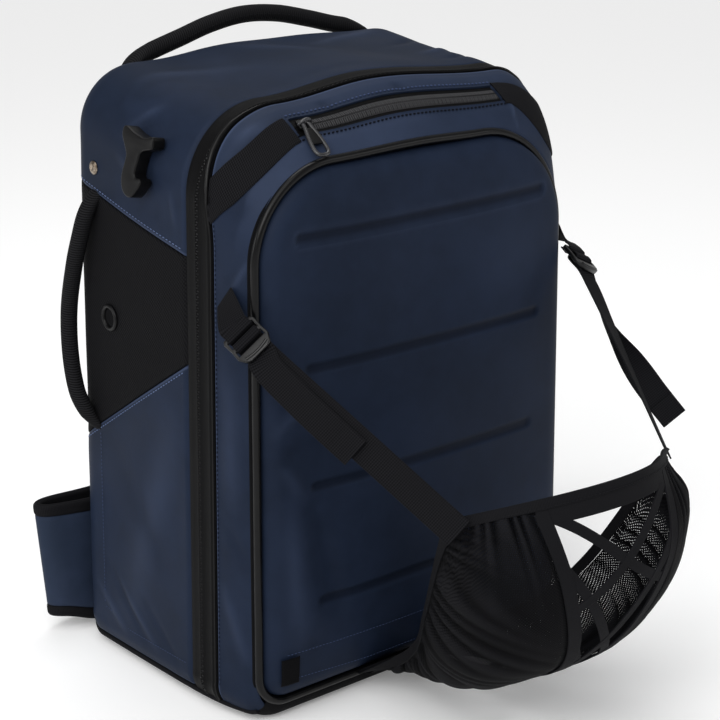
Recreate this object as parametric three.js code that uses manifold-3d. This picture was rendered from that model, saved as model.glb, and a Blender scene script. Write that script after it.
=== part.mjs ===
// Boot bag with a net pocket folded out in front.
// Millimetres, +Z up, the front faces -Y, the origin is the middle of the base on the floor.
import * as THREE from "three";
import { mergeVertices } from "three/addons/utils/BufferGeometryUtils.js";
import Module from "manifold-3d";

const wasm = await Module();
wasm.setup();

// General sizes
const GAP = 0.3;
const CLOTH = 2;
const PADDING = 6;
const WEBBING = 1.5;
const STRAP_WIDTH = 25;

// Body sections along the depth: half width at the top and low down, top height,
// rise of the middle of the top, radius of the top corners, fullness of the right shoulder
const SECTIONS = [
  { y: -127, half: 171.5, low: 174, top: 484.5, crown: 2, corner: 79, full: 0 },
  { y: -104, half: 177, low: 182, top: 507, crown: 5, corner: 86, full: 0 },
  { y: -82, half: 180.5, low: 187, top: 523, crown: 8, corner: 80, full: 0 },
  { y: -49, half: 183, low: 190, top: 534, crown: 10, corner: 73, full: 0 },
  { y: 20, half: 185.5, low: 191.5, top: 538, crown: 10, corner: 73, full: 0.5 },
  { y: 97, half: 183, low: 190, top: 540, crown: 9, corner: 73, full: 1 },
];
const FULL_CORNER = 32;
const FULL_CROWN = 5;
const FRONT_Y = -127;
const BACK_Y = 127;
const BACK_ROUND = 30;
const BACK_GAP = 1;
const BACK_PUFF = 5;
const FRONT_ROUND = 18;
const FRONT_TURN = [-112, -118];
const LOW_ROUND = 28;
const BASE_ANGLE = 50;
const EDGE_SLACK = 0.6;

// Seams of the black side panels: height at a depth of zero and rise per millimetre towards the back
const UPPER_SEAM = { height: 416.2, rise: 0.3165 };
const LOWER_SEAM = { height: 277.6, rise: -0.66 };

// Main zip: a tape with a coil ridge and a rolled front lip, given as depth and lift
const ZIP_PROFILE = [
  { y: -49, lift: 0 },
  { y: -61, lift: 0 },
  { y: -62, lift: 1.4 },
  { y: -64.5, lift: 1.4 },
  { y: -65.5, lift: 0 },
  { y: -78.5, lift: 2.2 },
  { y: -82, lift: 0.4 },
];
const ZIP_BACK = -49;
const ZIP_FRONT = -82;

// Pocket zip on the sloped top of the gusset
const POCKET_ZIP = { half: 108, back: -89, front: -105, tape: 1 };
const POCKET_ZIP_PROFILE = [
  { at: 0, lift: 0 },
  { at: 0.42, lift: 0 },
  { at: 0.47, lift: 1 },
  { at: 0.53, lift: 1 },
  { at: 0.58, lift: 0 },
  { at: 1, lift: 0 },
];

// Front panel, its piping and its pressed channels
const PIPING_RADIUS = 4;
const PANEL_INSET = 4.8;
const FRONT_BULGE = 17;
const FRONT_THICK = 4;
const CHANNELS = [
  { height: 107, half: 121 },
  { height: 212, half: 127 },
  { height: 316, half: 133 },
  { height: 426, half: 139 },
];
const CHANNEL_HALF = 5;
const CHANNEL_DEPTH = 2;
const LABEL = { x: -144.5, z: 50, width: 19, height: 25, thick: 0.8 };

// Handles
const TOP_HANDLE = { half: 134, shift: 6, y: 119, radius: 7.6 };
// Left half of the top handle above its seat
const TOP_HANDLE_PATH = [
  { x: -119, y: 125, z: 531 },
  { x: -99, y: 126, z: 543 },
  { x: -72, y: 126, z: 554 },
  { x: -38, y: 126, z: 561.5 },
  { x: 0, y: 126, z: 564 },
];
const SIDE_HANDLE_RADIUS = 7.5;
// Side handle from its upper seat to its lower seat: height, depth, distance from the side
const SIDE_HANDLE_PATH = [
  { z: 441, y: 76, out: 8 },
  { z: 430, y: 77.5, out: 8.2 },
  { z: 416, y: 80, out: 8.8 },
  { z: 396, y: 86, out: 9.6 },
  { z: 366, y: 102, out: 11 },
  { z: 320, y: 112, out: 14 },
  { z: 280, y: 112, out: 14 },
  { z: 240, y: 102, out: 10.5 },
  { z: 220, y: 93, out: 8.8 },
  { z: 202, y: 88, out: 8 },
];

// Fittings on the sides
const RIVET = { y: 84, z: 453, radius: 6, height: 2.5 };
const VENT = { y: 64, z: 324, outer: 12, inner: 8.5, height: 2 };
const HOOK = { y: -8, z: 473, thick: 7, stand: 6.8, stemY: -22, stemZ: 8, stemHalf: 4.5 };
// Outline of the gear hook seen from the side: depth and height from its middle
const HOOK_OUTLINE = [
  { y: 29, z: 24 },
  { y: 17, z: 29 },
  { y: 8, z: 24 },
  { y: 2, z: 15 },
  { y: -25, z: 14 },
  { y: -29, z: 11 },
  { y: -29, z: 4 },
  { y: -25, z: 1 },
  { y: 2, z: 0 },
  { y: 9, z: -3 },
  { y: 13, z: -9 },
  { y: 11, z: -16 },
  { y: 4, z: -20 },
  { y: -7, z: -19 },
  { y: -11, z: -22 },
  { y: -8, z: -28 },
  { y: 6, z: -32 },
  { y: 20, z: -29 },
  { y: 30, z: -19 },
  { y: 33, z: -9 },
  { y: 27, z: 2 },
  { y: 30, z: 13 },
];

// Yoke straps across the upper corners
const YOKE = { topX: 109.5, topY: -97, lowY: -83.5, lift: 2.2 };

// Sling: buckle place and directions for the left side, then strap ends
const BUCKLE = { x: 188, y: -138, z: 352, width: 33, thick: 4 };
const BUCKLE_BARS = { tab: [-15, -11], middle: [-4, 0], lip: [5, 15], side: 3 };
const TAB_START = { y: -98, z: 378 };
const TAB_ACROSS = { x: 0, y: -0.62, z: 0.78 };
const STRAP_ALONG = { x: 0.094, y: -0.88, z: -0.466 };
const STRAP_ACROSS = { x: 0.688, y: -0.234, z: 0.686 };
const LEFT_TAIL = 118;
const RIGHT_TAIL = [
  { x: 191, y: -167, z: 319 },
  { x: 201, y: -203, z: 267 },
  { x: 204, y: -240, z: 227 },
];

// Net pocket: rows from its root on the bag to its rim, the edge and the middle of each row,
// how far the mesh swells and the share of the width that the lattice panel takes
const NET = [
  { v: 0, edgeX: 60, edgeY: -127.8, edgeZ: 17, midY: -127.8, midZ: 14, belly: 0, panel: 0.36 },
  { v: 0.2, edgeX: 60, edgeY: -172, edgeZ: 41, midY: -195, midZ: 36, belly: 9, panel: 0.32 },
  { v: 0.4, edgeX: 76, edgeY: -216, edgeZ: 75, midY: -277, midZ: 56, belly: 24, panel: 0.28 },
  { v: 0.6, edgeX: 98, edgeY: -250, edgeZ: 123, midY: -341, midZ: 98, belly: 30, panel: 0.29 },
  { v: 0.8, edgeX: 117, edgeY: -287, edgeZ: 193, midY: -374, midZ: 168, belly: 27, panel: 0.43 },
  { v: 1, edgeX: 121, edgeY: -305, edgeZ: 229, midY: -369, midZ: 240, belly: 0, panel: 0.5 },
];
const NET_MIDDLE = { x: 0, y: -220, z: 150 };
const NET_THICK = 1.4;
const NET_GATHERS = { waves: 7, depth: 3.5 };
const NET_BINDING = { width: 9, thick: 3.4 };
// Lattice bars run both ways between two heights of the net panel
const LATTICE = [
  { high: 0.972, low: 0.71 },
  { high: 0.835, low: 0.5 },
  { high: 0.66, low: 0.34 },
];
const LATTICE_BAR = { width: 9, thick: [1.8, 1] };
const LATTICE_FRAME = { width: 10, thick: 2.8, foot: 0.3 };

// Hip wing of the left side, seen from above, and its height
const WING_PATH = [
  { x: -132, y: 134.6 },
  { x: -166, y: 136 },
  { x: -194, y: 138 },
  { x: -209, y: 142 },
  { x: -214.5, y: 149 },
  { x: -209, y: 156 },
  { x: -194, y: 160 },
  { x: -162, y: 161 },
  { x: -130, y: 160 },
];
const WING = { low: 4, rise: 18, from: 160, to: 214, height: 114, thick: 6.5, binding: 13 };

// Shoulder straps on the back
const SHOULDER_PATH = [
  { x: 46, y: 134.8, z: 486 },
  { x: 50, y: 147, z: 462 },
  { x: 62, y: 162, z: 400 },
  { x: 80, y: 168, z: 320 },
  { x: 96, y: 161, z: 230 },
  { x: 106, y: 147, z: 170 },
  { x: 109, y: 135.6, z: 148 },
];
const SHOULDER = { width: 58, thick: 8 };

// Colours
const NAVY = new THREE.MeshStandardMaterial({ color: 0x2a3148, roughness: 0.55, metalness: 0 });
const BLACK_CLOTH = new THREE.MeshStandardMaterial({ color: 0x18191c, roughness: 0.85, metalness: 0 });
const BLACK_GLOSS = new THREE.MeshStandardMaterial({ color: 0x0e0f11, roughness: 0.3, metalness: 0 });
const PLASTIC = new THREE.MeshStandardMaterial({ color: 0x1b1c1f, roughness: 0.45, metalness: 0 });
const STEEL = new THREE.MeshStandardMaterial({ color: 0x8f8a82, roughness: 0.35, metalness: 1 });

const group = new THREE.Group();
group.name = "boot_bag";
const vec = (x, y, z) => new THREE.Vector3(x, y, z);
const from = (row) => vec(row.x, row.y, row.z);
const mix = THREE.MathUtils.lerp;
const limit = THREE.MathUtils.clamp;
const SIDES = [
  { side: -1, name: "left" },
  { side: 1, name: "right" },
];

// Smooth value of every column of a table at a place along its key column
function tableAt(rows, key, place) {
  const last = rows.length - 1;
  const at = limit(place, rows[0][key], rows[last][key]);
  let i = 0;
  while (i < last - 1 && at > rows[i + 1][key]) i += 1;
  const span = rows[i + 1][key] - rows[i][key];
  const t = (at - rows[i][key]) / span;
  const before = rows[Math.max(i - 1, 0)];
  const after = rows[Math.min(i + 2, last)];
  const out = {};
  for (const name of Object.keys(rows[0])) {
    const a = rows[i][name];
    const b = rows[i + 1][name];
    const slopeA = ((b - before[name]) / (rows[i + 1][key] - before[key])) * span;
    const slopeB = ((after[name] - a) / (after[key] - rows[i][key])) * span;
    const t2 = t * t;
    const t3 = t2 * t;
    out[name] = a * (2 * t3 - 3 * t2 + 1) + slopeA * (t3 - 2 * t2 + t);
    out[name] += b * (3 * t2 - 2 * t3) + slopeB * (t3 - t2);
  }
  return out;
}

// Body section of one side at a depth, grown outward by a lift
function sectionAt(y, side, lift = 0) {
  const row = tableAt(SECTIONS, "y", y);
  const full = side > 0 ? row.full : 0;
  const crown = row.crown - FULL_CROWN * full;
  const behind = Math.max(0, y - (BACK_Y - BACK_ROUND));
  const ahead = Math.max(0, FRONT_Y + FRONT_ROUND - y);
  const inset = BACK_ROUND - Math.sqrt(Math.max(0, BACK_ROUND ** 2 - behind ** 2)) - lift;
  const raise = FRONT_ROUND - Math.sqrt(Math.max(0, FRONT_ROUND ** 2 - ahead ** 2));
  return {
    y,
    half: row.half - inset,
    low: row.low - inset,
    shoulder: row.top - crown - inset,
    crown,
    corner: Math.max(row.corner - FULL_CORNER * full - inset, 6),
    bottom: inset + raise,
    lowCorner: Math.max(LOW_ROUND - inset, 6),
  };
}

// Half width of a section at a height
function halfAt(section, z) {
  const { half, low, shoulder, corner, bottom, lowCorner } = section;
  const arcZ = shoulder - corner;
  const side = mix(low, half, limit((z - bottom) / (arcZ - bottom), 0, 1));
  if (z > arcZ) return half - corner + Math.sqrt(Math.max(0, corner ** 2 - (z - arcZ) ** 2));
  const under = bottom + lowCorner - z;
  if (under > 0) return side - lowCorner + Math.sqrt(Math.max(0, lowCorner ** 2 - under ** 2));
  return side;
}

// Height of the top of a section at a distance from the middle
function topAt(section, x) {
  const { half, shoulder, corner, crown } = section;
  const flat = half - corner;
  const beyond = Math.abs(x) - flat;
  if (beyond > 0) return shoulder - corner + Math.sqrt(Math.max(0, corner ** 2 - beyond ** 2));
  return shoulder + crown * (0.5 + 0.5 * Math.cos((Math.PI * x) / flat));
}

// Point on one half of a section's outline
function outlinePoint(section, { part, f, side }, floor) {
  const { y, half, low, shoulder, corner, bottom, lowCorner } = section;
  const arcZ = shoulder - corner;
  if (part === "under" || part === "low") {
    const seam = THREE.MathUtils.degToRad(BASE_ANGLE);
    const slack = EDGE_SLACK / lowCorner;
    const angle = part === "under" ? f * (seam - slack) : mix(seam + slack, Math.PI / 2, f);
    const flat = low - lowCorner;
    return vec(side * (flat + lowCorner * Math.sin(angle)), y, bottom + lowCorner * (1 - Math.cos(angle)));
  }
  if (part === "side") {
    const z = mix(floor ?? bottom + lowCorner, arcZ, f);
    return vec(side * halfAt(section, z), y, z);
  }
  if (part === "corner") {
    const angle = (Math.PI / 2) * f;
    return vec(side * (half - corner + corner * Math.cos(angle)), y, arcZ + corner * Math.sin(angle));
  }
  const x = side * mix(half - corner, 0, f);
  return vec(x, y, topAt(section, x));
}

// Stations round an outline from the left to the right, with a count of steps for each part
function stationsOf(counts) {
  const half = [];
  for (const [part, count] of Object.entries(counts)) {
    for (let i = 0; i < count; i += 1) half.push({ part, f: i / count });
  }
  const left = half.map((station) => ({ ...station, side: -1 }));
  const right = half.map((station) => ({ ...station, side: 1 })).reverse();
  return [...left, { part: "top", f: 1, side: 1 }, ...right];
}

// Depths of the rear shell from the main zip to the back
function rearDepths(steps, turns) {
  const start = ZIP_BACK + GAP;
  const straight = BACK_Y - BACK_ROUND;
  const depths = [];
  for (let i = 0; i < steps; i += 1) depths.push(mix(start, straight, i / steps));
  for (let i = 0; i <= turns; i += 1) {
    depths.push(straight + BACK_ROUND * Math.sin((Math.PI / 2) * (i / turns)));
  }
  return depths;
}

// Unit normals of a grid of points
function gridNormals(grid) {
  const last = grid.length - 1;
  const end = grid[0].length - 1;
  return grid.map((row, i) =>
    row.map((point, j) => {
      const along = grid[Math.min(i + 1, last)][j].clone().sub(grid[Math.max(i - 1, 0)][j]);
      const across = row[Math.min(j + 1, end)].clone().sub(row[Math.max(j - 1, 0)]);
      return across.cross(along).normalize();
    }),
  );
}

// Grid moved along its normals
function shifted(grid, normals, distance) {
  return grid.map((row, i) => row.map((point, j) => point.clone().addScaledVector(normals[i][j], distance)));
}

// Closed wall from a grid of outer points, thickened to the side away from the facing direction
function wall(grid, thickness, facing) {
  const rows = grid.length;
  const cols = grid[0].length;
  const normals = gridNormals(grid);
  const middle = normals[Math.floor(rows / 2)][Math.floor(cols / 2)];
  const sign = middle.dot(facing) > 0 ? 1 : -1;
  const inner = shifted(grid, normals, -sign * thickness);
  const points = [...grid.flat(), ...inner.flat()];
  const outerAt = (i, j) => i * cols + j;
  const innerAt = (i, j) => rows * cols + i * cols + j;
  const faces = [];
  const quad = (a, b, c, d) => faces.push(a, b, c, a, c, d);
  for (let i = 0; i < rows - 1; i += 1) {
    for (let j = 0; j < cols - 1; j += 1) {
      quad(outerAt(i, j), outerAt(i, j + 1), outerAt(i + 1, j + 1), outerAt(i + 1, j));
      quad(innerAt(i, j), innerAt(i + 1, j), innerAt(i + 1, j + 1), innerAt(i, j + 1));
    }
  }
  for (let i = 0; i < rows - 1; i += 1) {
    quad(outerAt(i, 0), outerAt(i + 1, 0), innerAt(i + 1, 0), innerAt(i, 0));
    quad(outerAt(i, cols - 1), innerAt(i, cols - 1), innerAt(i + 1, cols - 1), outerAt(i + 1, cols - 1));
  }
  for (let j = 0; j < cols - 1; j += 1) {
    quad(outerAt(0, j), innerAt(0, j), innerAt(0, j + 1), outerAt(0, j + 1));
    quad(outerAt(rows - 1, j), outerAt(rows - 1, j + 1), innerAt(rows - 1, j + 1), innerAt(rows - 1, j));
  }
  const geometry = new THREE.BufferGeometry();
  geometry.setAttribute("position", new THREE.Float32BufferAttribute(points.flatMap((p) => p.toArray()), 3));
  geometry.setIndex(faces);
  return outward(geometry);
}

// Signed volume of an indexed geometry
function volumeOf(geometry) {
  const { array } = geometry.getAttribute("position");
  const index = geometry.getIndex().array;
  const corner = (i) => vec(array[3 * index[i]], array[3 * index[i] + 1], array[3 * index[i] + 2]);
  let volume = 0;
  for (let i = 0; i < index.length; i += 3) volume += corner(i).dot(corner(i + 1).cross(corner(i + 2))) / 6;
  return volume;
}

// Same geometry with all faces turned outward
function outward(geometry) {
  if (volumeOf(geometry) < 0) {
    const turned = Array.from(geometry.getIndex().array);
    for (let i = 0; i < turned.length; i += 3) {
      [turned[i + 1], turned[i + 2]] = [turned[i + 2], turned[i + 1]];
    }
    geometry.setIndex(turned);
  }
  return geometry;
}

// Indexed geometry with positions only
function welded(geometry) {
  const bare = new THREE.BufferGeometry();
  const source = geometry.index ? geometry.toNonIndexed() : geometry;
  bare.setAttribute("position", source.getAttribute("position").clone());
  return mergeVertices(bare, 1e-4);
}

// Solid for joining and cutting
function solidOf(geometry) {
  const bare = outward(welded(geometry));
  const mesh = new wasm.Mesh({
    numProp: 3,
    vertProperties: new Float32Array(bare.getAttribute("position").array),
    triVerts: new Uint32Array(bare.getIndex().array),
  });
  return new wasm.Manifold(mesh);
}

// Geometry of a solid
function geometryOf(solid) {
  const mesh = solid.getMesh();
  const geometry = new THREE.BufferGeometry();
  geometry.setAttribute("position", new THREE.Float32BufferAttribute(Array.from(mesh.vertProperties), 3));
  geometry.setIndex(Array.from(mesh.triVerts));
  return geometry;
}

const joined = (pieces) => pieces.map(solidOf).reduce((all, piece) => all.add(piece));
const join = (pieces) => geometryOf(joined(pieces).simplify(0.06));
const cut = (body, tool) => geometryOf(solidOf(body).subtract(solidOf(tool)));

// Round tube along a smooth curve through points
function tube(points, radius, steps, sides) {
  const ring = [];
  for (let i = 0; i < sides; i += 1) {
    const angle = (2 * Math.PI * i) / sides;
    ring.push(new THREE.Vector2(radius * Math.cos(angle), radius * Math.sin(angle)));
  }
  const path = new THREE.CatmullRomCurve3(points, false, "centripetal");
  return new THREE.ExtrudeGeometry(new THREE.Shape(ring), { steps, extrudePath: path, curveSegments: sides });
}

// Flat band along places with a centre and an across direction
function band(places, width, thickness, facing, columns = 1) {
  const grid = places.map(({ at, across }) => {
    const row = [];
    for (let j = 0; j <= columns; j += 1) {
      row.push(at.clone().addScaledVector(across, width * (j / columns - 0.5)));
    }
    return row;
  });
  const normals = gridNormals(grid);
  const middle = normals[Math.floor(grid.length / 2)][0];
  const sign = middle.dot(facing) > 0 ? 1 : -1;
  return wall(shifted(grid, normals, (sign * thickness) / 2), thickness, facing);
}

// Named mesh of the part
function add(name, geometry, material) {
  const ready = welded(geometry);
  ready.computeVertexNormals();
  const mesh = new THREE.Mesh(outward(ready), material);
  mesh.name = name;
  group.add(mesh);
}

// Point and outward normal on the rear shell's side at a depth and height
function sideSpot(side, y, z, lift = 0) {
  const at = (yy, zz) => vec(side * halfAt(sectionAt(yy, side), zz), yy, zz);
  const point = at(y, z);
  const deep = at(y + 0.5, z).sub(at(y - 0.5, z));
  const high = at(y, z + 0.5).sub(at(y, z - 0.5));
  const normal = deep.cross(high).normalize();
  if (normal.x * side < 0) normal.negate();
  return { point: point.addScaledVector(normal, lift), normal };
}

// Point and outward normal on the top of the bag at a distance from the middle and a depth
function topSpot(x, y, lift = 0) {
  const at = (xx, yy) => vec(xx, yy, topAt(sectionAt(yy, xx), xx));
  const point = at(x, y);
  const wide = at(x + 0.5, y).sub(at(x - 0.5, y));
  const deep = at(x, y + 0.5).sub(at(x, y - 0.5));
  const normal = wide.cross(deep).normalize();
  return { point: point.addScaledVector(normal, lift), normal };
}

// Rear shell
function rearShell() {
  const depths = rearDepths(4, 4);
  const seam = ({ height, rise }, y) => height + rise * y;
  const crownStations = stationsOf({ side: 2, corner: 5, top: 4 });
  const crown = depths.map((y) =>
    crownStations.map((station) => {
      const floor = seam(UPPER_SEAM, y) + GAP / 2;
      return outlinePoint(sectionAt(y, station.side), station, floor);
    }),
  );
  add("crown_panel", wall(crown, CLOTH, vec(0, 0, 1)), NAVY);

  for (const { side, name } of SIDES) {
    const panel = depths.map((y) => {
      const section = sectionAt(y, side);
      const low = seam(LOWER_SEAM, y) + GAP / 2;
      const high = seam(UPPER_SEAM, y) - GAP / 2;
      return [0, 0.25, 0.5, 0.75, 1].map((f) => {
        const z = mix(low, high, f);
        return vec(side * halfAt(section, z), y, z);
      });
    });
    const { point } = sideSpot(side, VENT.y, VENT.z);
    const hole = new THREE.CylinderGeometry(VENT.inner + 0.8, VENT.inner + 0.8, 30, 14);
    hole.rotateZ(Math.PI / 2).translate(point.x, point.y, point.z);
    add(`side_panel_${name}`, cut(wall(panel, CLOTH, vec(side, 0, 0)), hole), BLACK_CLOTH);

    const lower = depths.map((y) => {
      const section = sectionAt(y, side);
      const high = seam(LOWER_SEAM, y) - GAP / 2;
      const start = section.bottom + section.lowCorner;
      const row = [0, 1 / 3, 2 / 3].map((f) => outlinePoint(section, { part: "low", f, side }));
      for (const f of [0, 0.25, 0.5, 0.75, 1]) {
        const z = mix(start, high, f);
        row.push(vec(side * halfAt(section, z), y, z));
      }
      return row;
    });
    add(`lower_panel_${name}`, wall(lower, CLOTH, vec(side, 0, 0)), NAVY);
  }
}

// Base tray and back panel
function baseAndBack() {
  const across = [];
  for (const f of [1, 0.5]) across.push({ side: -1, f, x: null });
  for (const x of [-1, -0.5, 0, 0.5, 1]) across.push({ x });
  for (const f of [0.5, 1]) across.push({ side: 1, f, x: null });
  const depths = [FRONT_Y, -125, FRONT_Y + PIPING_RADIUS + GAP + 0.4, ...[...FRONT_TURN].reverse()];
  for (const y of [-104, -50, 20, BACK_Y - BACK_ROUND]) depths.push(y);
  for (const f of [0.25, 0.5, 0.75, 1]) {
    depths.push(BACK_Y - BACK_ROUND + BACK_ROUND * Math.sin((Math.PI / 2) * f));
  }
  const grid = depths.map((y) => {
    const section = sectionAt(y, -1);
    const flat = section.low - section.lowCorner;
    return across.map(({ x, f, side }) => {
      if (x !== null) return vec(x * flat, y, section.bottom);
      return outlinePoint(section, { part: "under", f, side });
    });
  });
  add("base_panel", wall(grid, CLOTH, vec(0, 0, -1)), BLACK_CLOTH);

  const columns = [-1, -0.97, -0.91, -0.82, -0.7, -0.35, 0, 0.35, 0.7, 0.82, 0.91, 0.97, 1];
  const back = [0, 0.015, 0.08, 0.35, 0.65, 0.92, 0.985, 1].map((g) =>
    columns.map((p) => {
      const section = sectionAt(BACK_Y, p, -BACK_GAP);
      const { half, low, bottom, lowCorner, shoulder, corner } = section;
      const over = Math.max(0, Math.abs(p) * low - (low - lowCorner));
      const floor = bottom + lowCorner - Math.sqrt(Math.max(0, lowCorner ** 2 - over ** 2));
      const z = mix(floor, topAt(section, p * half), g);
      const straight = mix(low, half, limit((z - bottom) / (shoulder - corner - bottom), 0, 1));
      const puff = BACK_PUFF * (1 - p ** 8) * (1 - (2 * g - 1) ** 12);
      return vec(p * straight, BACK_Y + puff, z);
    }),
  );
  add("back_panel", wall(back, PADDING, vec(0, 1, 0)), BLACK_CLOTH);
}

// Main zip, gusset and pocket zip
function frontSection() {
  const stations = stationsOf({ low: 1, side: 3, corner: 6, top: 3 });
  const zip = ZIP_PROFILE.map(({ y, lift }) =>
    stations.map((station) => outlinePoint(sectionAt(y, station.side, lift), station)),
  );
  add("main_zip", wall(zip, CLOTH - 0.4, vec(0, 0, 1)), BLACK_GLOSS);

  const depths = [ZIP_FRONT - GAP, -93, -104, ...FRONT_TURN, FRONT_Y + PIPING_RADIUS + GAP + 0.4];
  const gusset = depths.map((y) =>
    stations.map((station) => outlinePoint(sectionAt(y, station.side), station)),
  );
  const { half, back, front, tape } = POCKET_ZIP;
  const slot = new THREE.BoxGeometry(2 * half, back - front + 0.6, 120);
  slot.translate(0, (back + front + 0.6) / 2, 500);
  add("gusset_panel", cut(wall(gusset, CLOTH, vec(0, 0, 1)), slot), NAVY);

  const pocket = POCKET_ZIP_PROFILE.map(({ at, lift }) => {
    const y = mix(back - GAP, front + GAP, at);
    const row = [];
    for (let i = 0; i <= 12; i += 1) {
      const x = mix(-half + GAP, half - GAP, i / 12);
      row.push(topSpot(x, y, lift).point);
    }
    return row;
  });
  add("pocket_zip", wall(pocket, tape, vec(0, 0, 1)), BLACK_GLOSS);
}

// Depth of the front panel's face at a place, without its channels
function frontFace(x, z) {
  const section = sectionAt(FRONT_Y, -1, -PANEL_INSET);
  const half = halfAt(section, z);
  const p = limit(Math.abs(x) / half, 0, 1);
  const q = limit((z - section.bottom) / (section.shoulder + section.crown - section.bottom), 0, 1);
  return FRONT_Y - FRONT_BULGE * (1 - p ** 2.6) * (1 - Math.abs(2 * q - 1) ** 6);
}

// Front panel with its channels, piping and label
function frontPanel() {
  const section = sectionAt(FRONT_Y, -1, -PANEL_INSET);
  const heights = [section.bottom + 0.5, section.bottom + 8, section.bottom + 24, 60];
  for (const { height } of CHANNELS) {
    for (const step of [-1, -0.5, 0.5, 1]) heights.push(height + step * CHANNEL_HALF);
    heights.push(height + 54);
  }
  heights.pop();
  const ceiling = section.shoulder;
  heights.push(450, 464, 473, ceiling);
  const grid = heights.map((z) => {
    const channel = CHANNELS.find(({ height }) => Math.abs(height - z) < CHANNEL_HALF - 0.1);
    const reach = tableAt(CHANNELS, "height", z).half / halfAt(sectionAt(FRONT_Y, -1), Math.min(z, 400));
    const half = halfAt(section, z);
    return [-1, -reach - 0.04, -reach, -0.4, 0, 0.4, reach, reach + 0.04, 1].map((p) => {
      const x = p * half;
      const pressed = channel && Math.abs(p) < reach + 0.01 ? CHANNEL_DEPTH : 0;
      return vec(x, frontFace(x, z) + pressed, z);
    });
  });
  add("front_panel", wall(grid, FRONT_THICK, vec(0, -1, 0)), NAVY);

  const edge = sectionAt(FRONT_Y, -1);
  const places = stationsOf({ low: 2, side: 4, corner: 7, top: 3 });
  const path = places.map((station) => outlinePoint(edge, station).setY(FRONT_Y + 0.3));
  add("front_piping", tube(path, PIPING_RADIUS, 52, 8), BLACK_GLOSS);

  const rows = [-0.5, 0, 0.5].map((g) => {
    const z = LABEL.z + g * LABEL.height;
    return [-0.5, -0.17, 0.17, 0.5].map((p) => {
      const x = LABEL.x + p * LABEL.width;
      return vec(x, frontFace(x, z) - LABEL.thick - GAP - 0.3, z);
    });
  });
  add("woven_label", wall(rows, LABEL.thick, vec(0, -1, 0)), BLACK_CLOTH);
}

// Slider and pull of the pocket zip
function pocketSlider() {
  const { front, back, half } = POCKET_ZIP;
  const { point, normal } = topSpot(-half + 7, (front + back) / 2, 1.4);
  const down = topSpot(-half + 7, front, 0).point.sub(topSpot(-half + 7, back, 0).point).normalize();
  const along = down.clone().cross(normal).normalize();
  const frame = new THREE.Matrix4().makeBasis(along, down, normal).setPosition(point);
  const outline = new THREE.Shape();
  outline.moveTo(-6, -3.5);
  outline.lineTo(6, -4.5);
  outline.lineTo(6, 4.5);
  outline.lineTo(-6, 3.5);
  outline.closePath();
  const slider = new THREE.ExtrudeGeometry(outline, { depth: 3.4, bevelEnabled: false });
  add("pocket_slider", slider.applyMatrix4(frame), PLASTIC);

  const tab = new THREE.Shape();
  tab.moveTo(-3.2, 0);
  tab.lineTo(3.2, 0);
  tab.lineTo(4.6, 6);
  tab.lineTo(4.6, 27);
  tab.lineTo(2.6, 30);
  tab.lineTo(-2.6, 30);
  tab.lineTo(-4.6, 27);
  tab.lineTo(-4.6, 6);
  tab.closePath();
  const eye = new THREE.Path();
  eye.absarc(0, 6, 1.8, 0, 2 * Math.PI, true);
  tab.holes.push(eye);
  const pull = new THREE.ExtrudeGeometry(tab, { depth: 2.4, bevelEnabled: false, curveSegments: 6 });
  pull.translate(0, -5, 3.4 + GAP);
  add("pocket_pull", pull.applyMatrix4(frame), PLASTIC);
}

// Handles on the top and on the sides
function handles() {
  const { half, shift, y, radius } = TOP_HANDLE;
  const start = topSpot(shift - half, y, GAP + 0.1);
  const arch = TOP_HANDLE_PATH.map((row) => vec(shift + row.x, row.y, row.z));
  const rising = [start.point, start.point.clone().addScaledVector(start.normal, 6), ...arch];
  const end = topSpot(shift + half, y, GAP + 0.1);
  const falling = arch.slice(0, -1).map((p) => vec(2 * shift - p.x, p.y, p.z)).reverse();
  const path = [...rising, ...falling, end.point.clone().addScaledVector(end.normal, 6), end.point];
  add("top_handle", tube(path, radius, 22, 8), BLACK_CLOTH);

  for (const { side, name } of SIDES) {
    const points = SIDE_HANDLE_PATH.map((row) => sideSpot(side, row.y, row.z, row.out).point);
    add(`side_handle_${name}`, tube(points, SIDE_HANDLE_RADIUS, 18, 8), BLACK_CLOTH);
  }
}

// Turn of a shape drawn on the side of the bag: across becomes depth, up stays up, out follows the normal
function sideFrame(side, spot) {
  const out = spot.normal;
  const deep = vec(0, 1, 0).addScaledVector(out, -out.y).normalize();
  const up = out.clone().cross(deep).normalize();
  if (up.z < 0) up.negate();
  const across = up.clone().cross(out).normalize();
  return new THREE.Matrix4().makeBasis(across, up, out).setPosition(spot.point);
}

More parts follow.
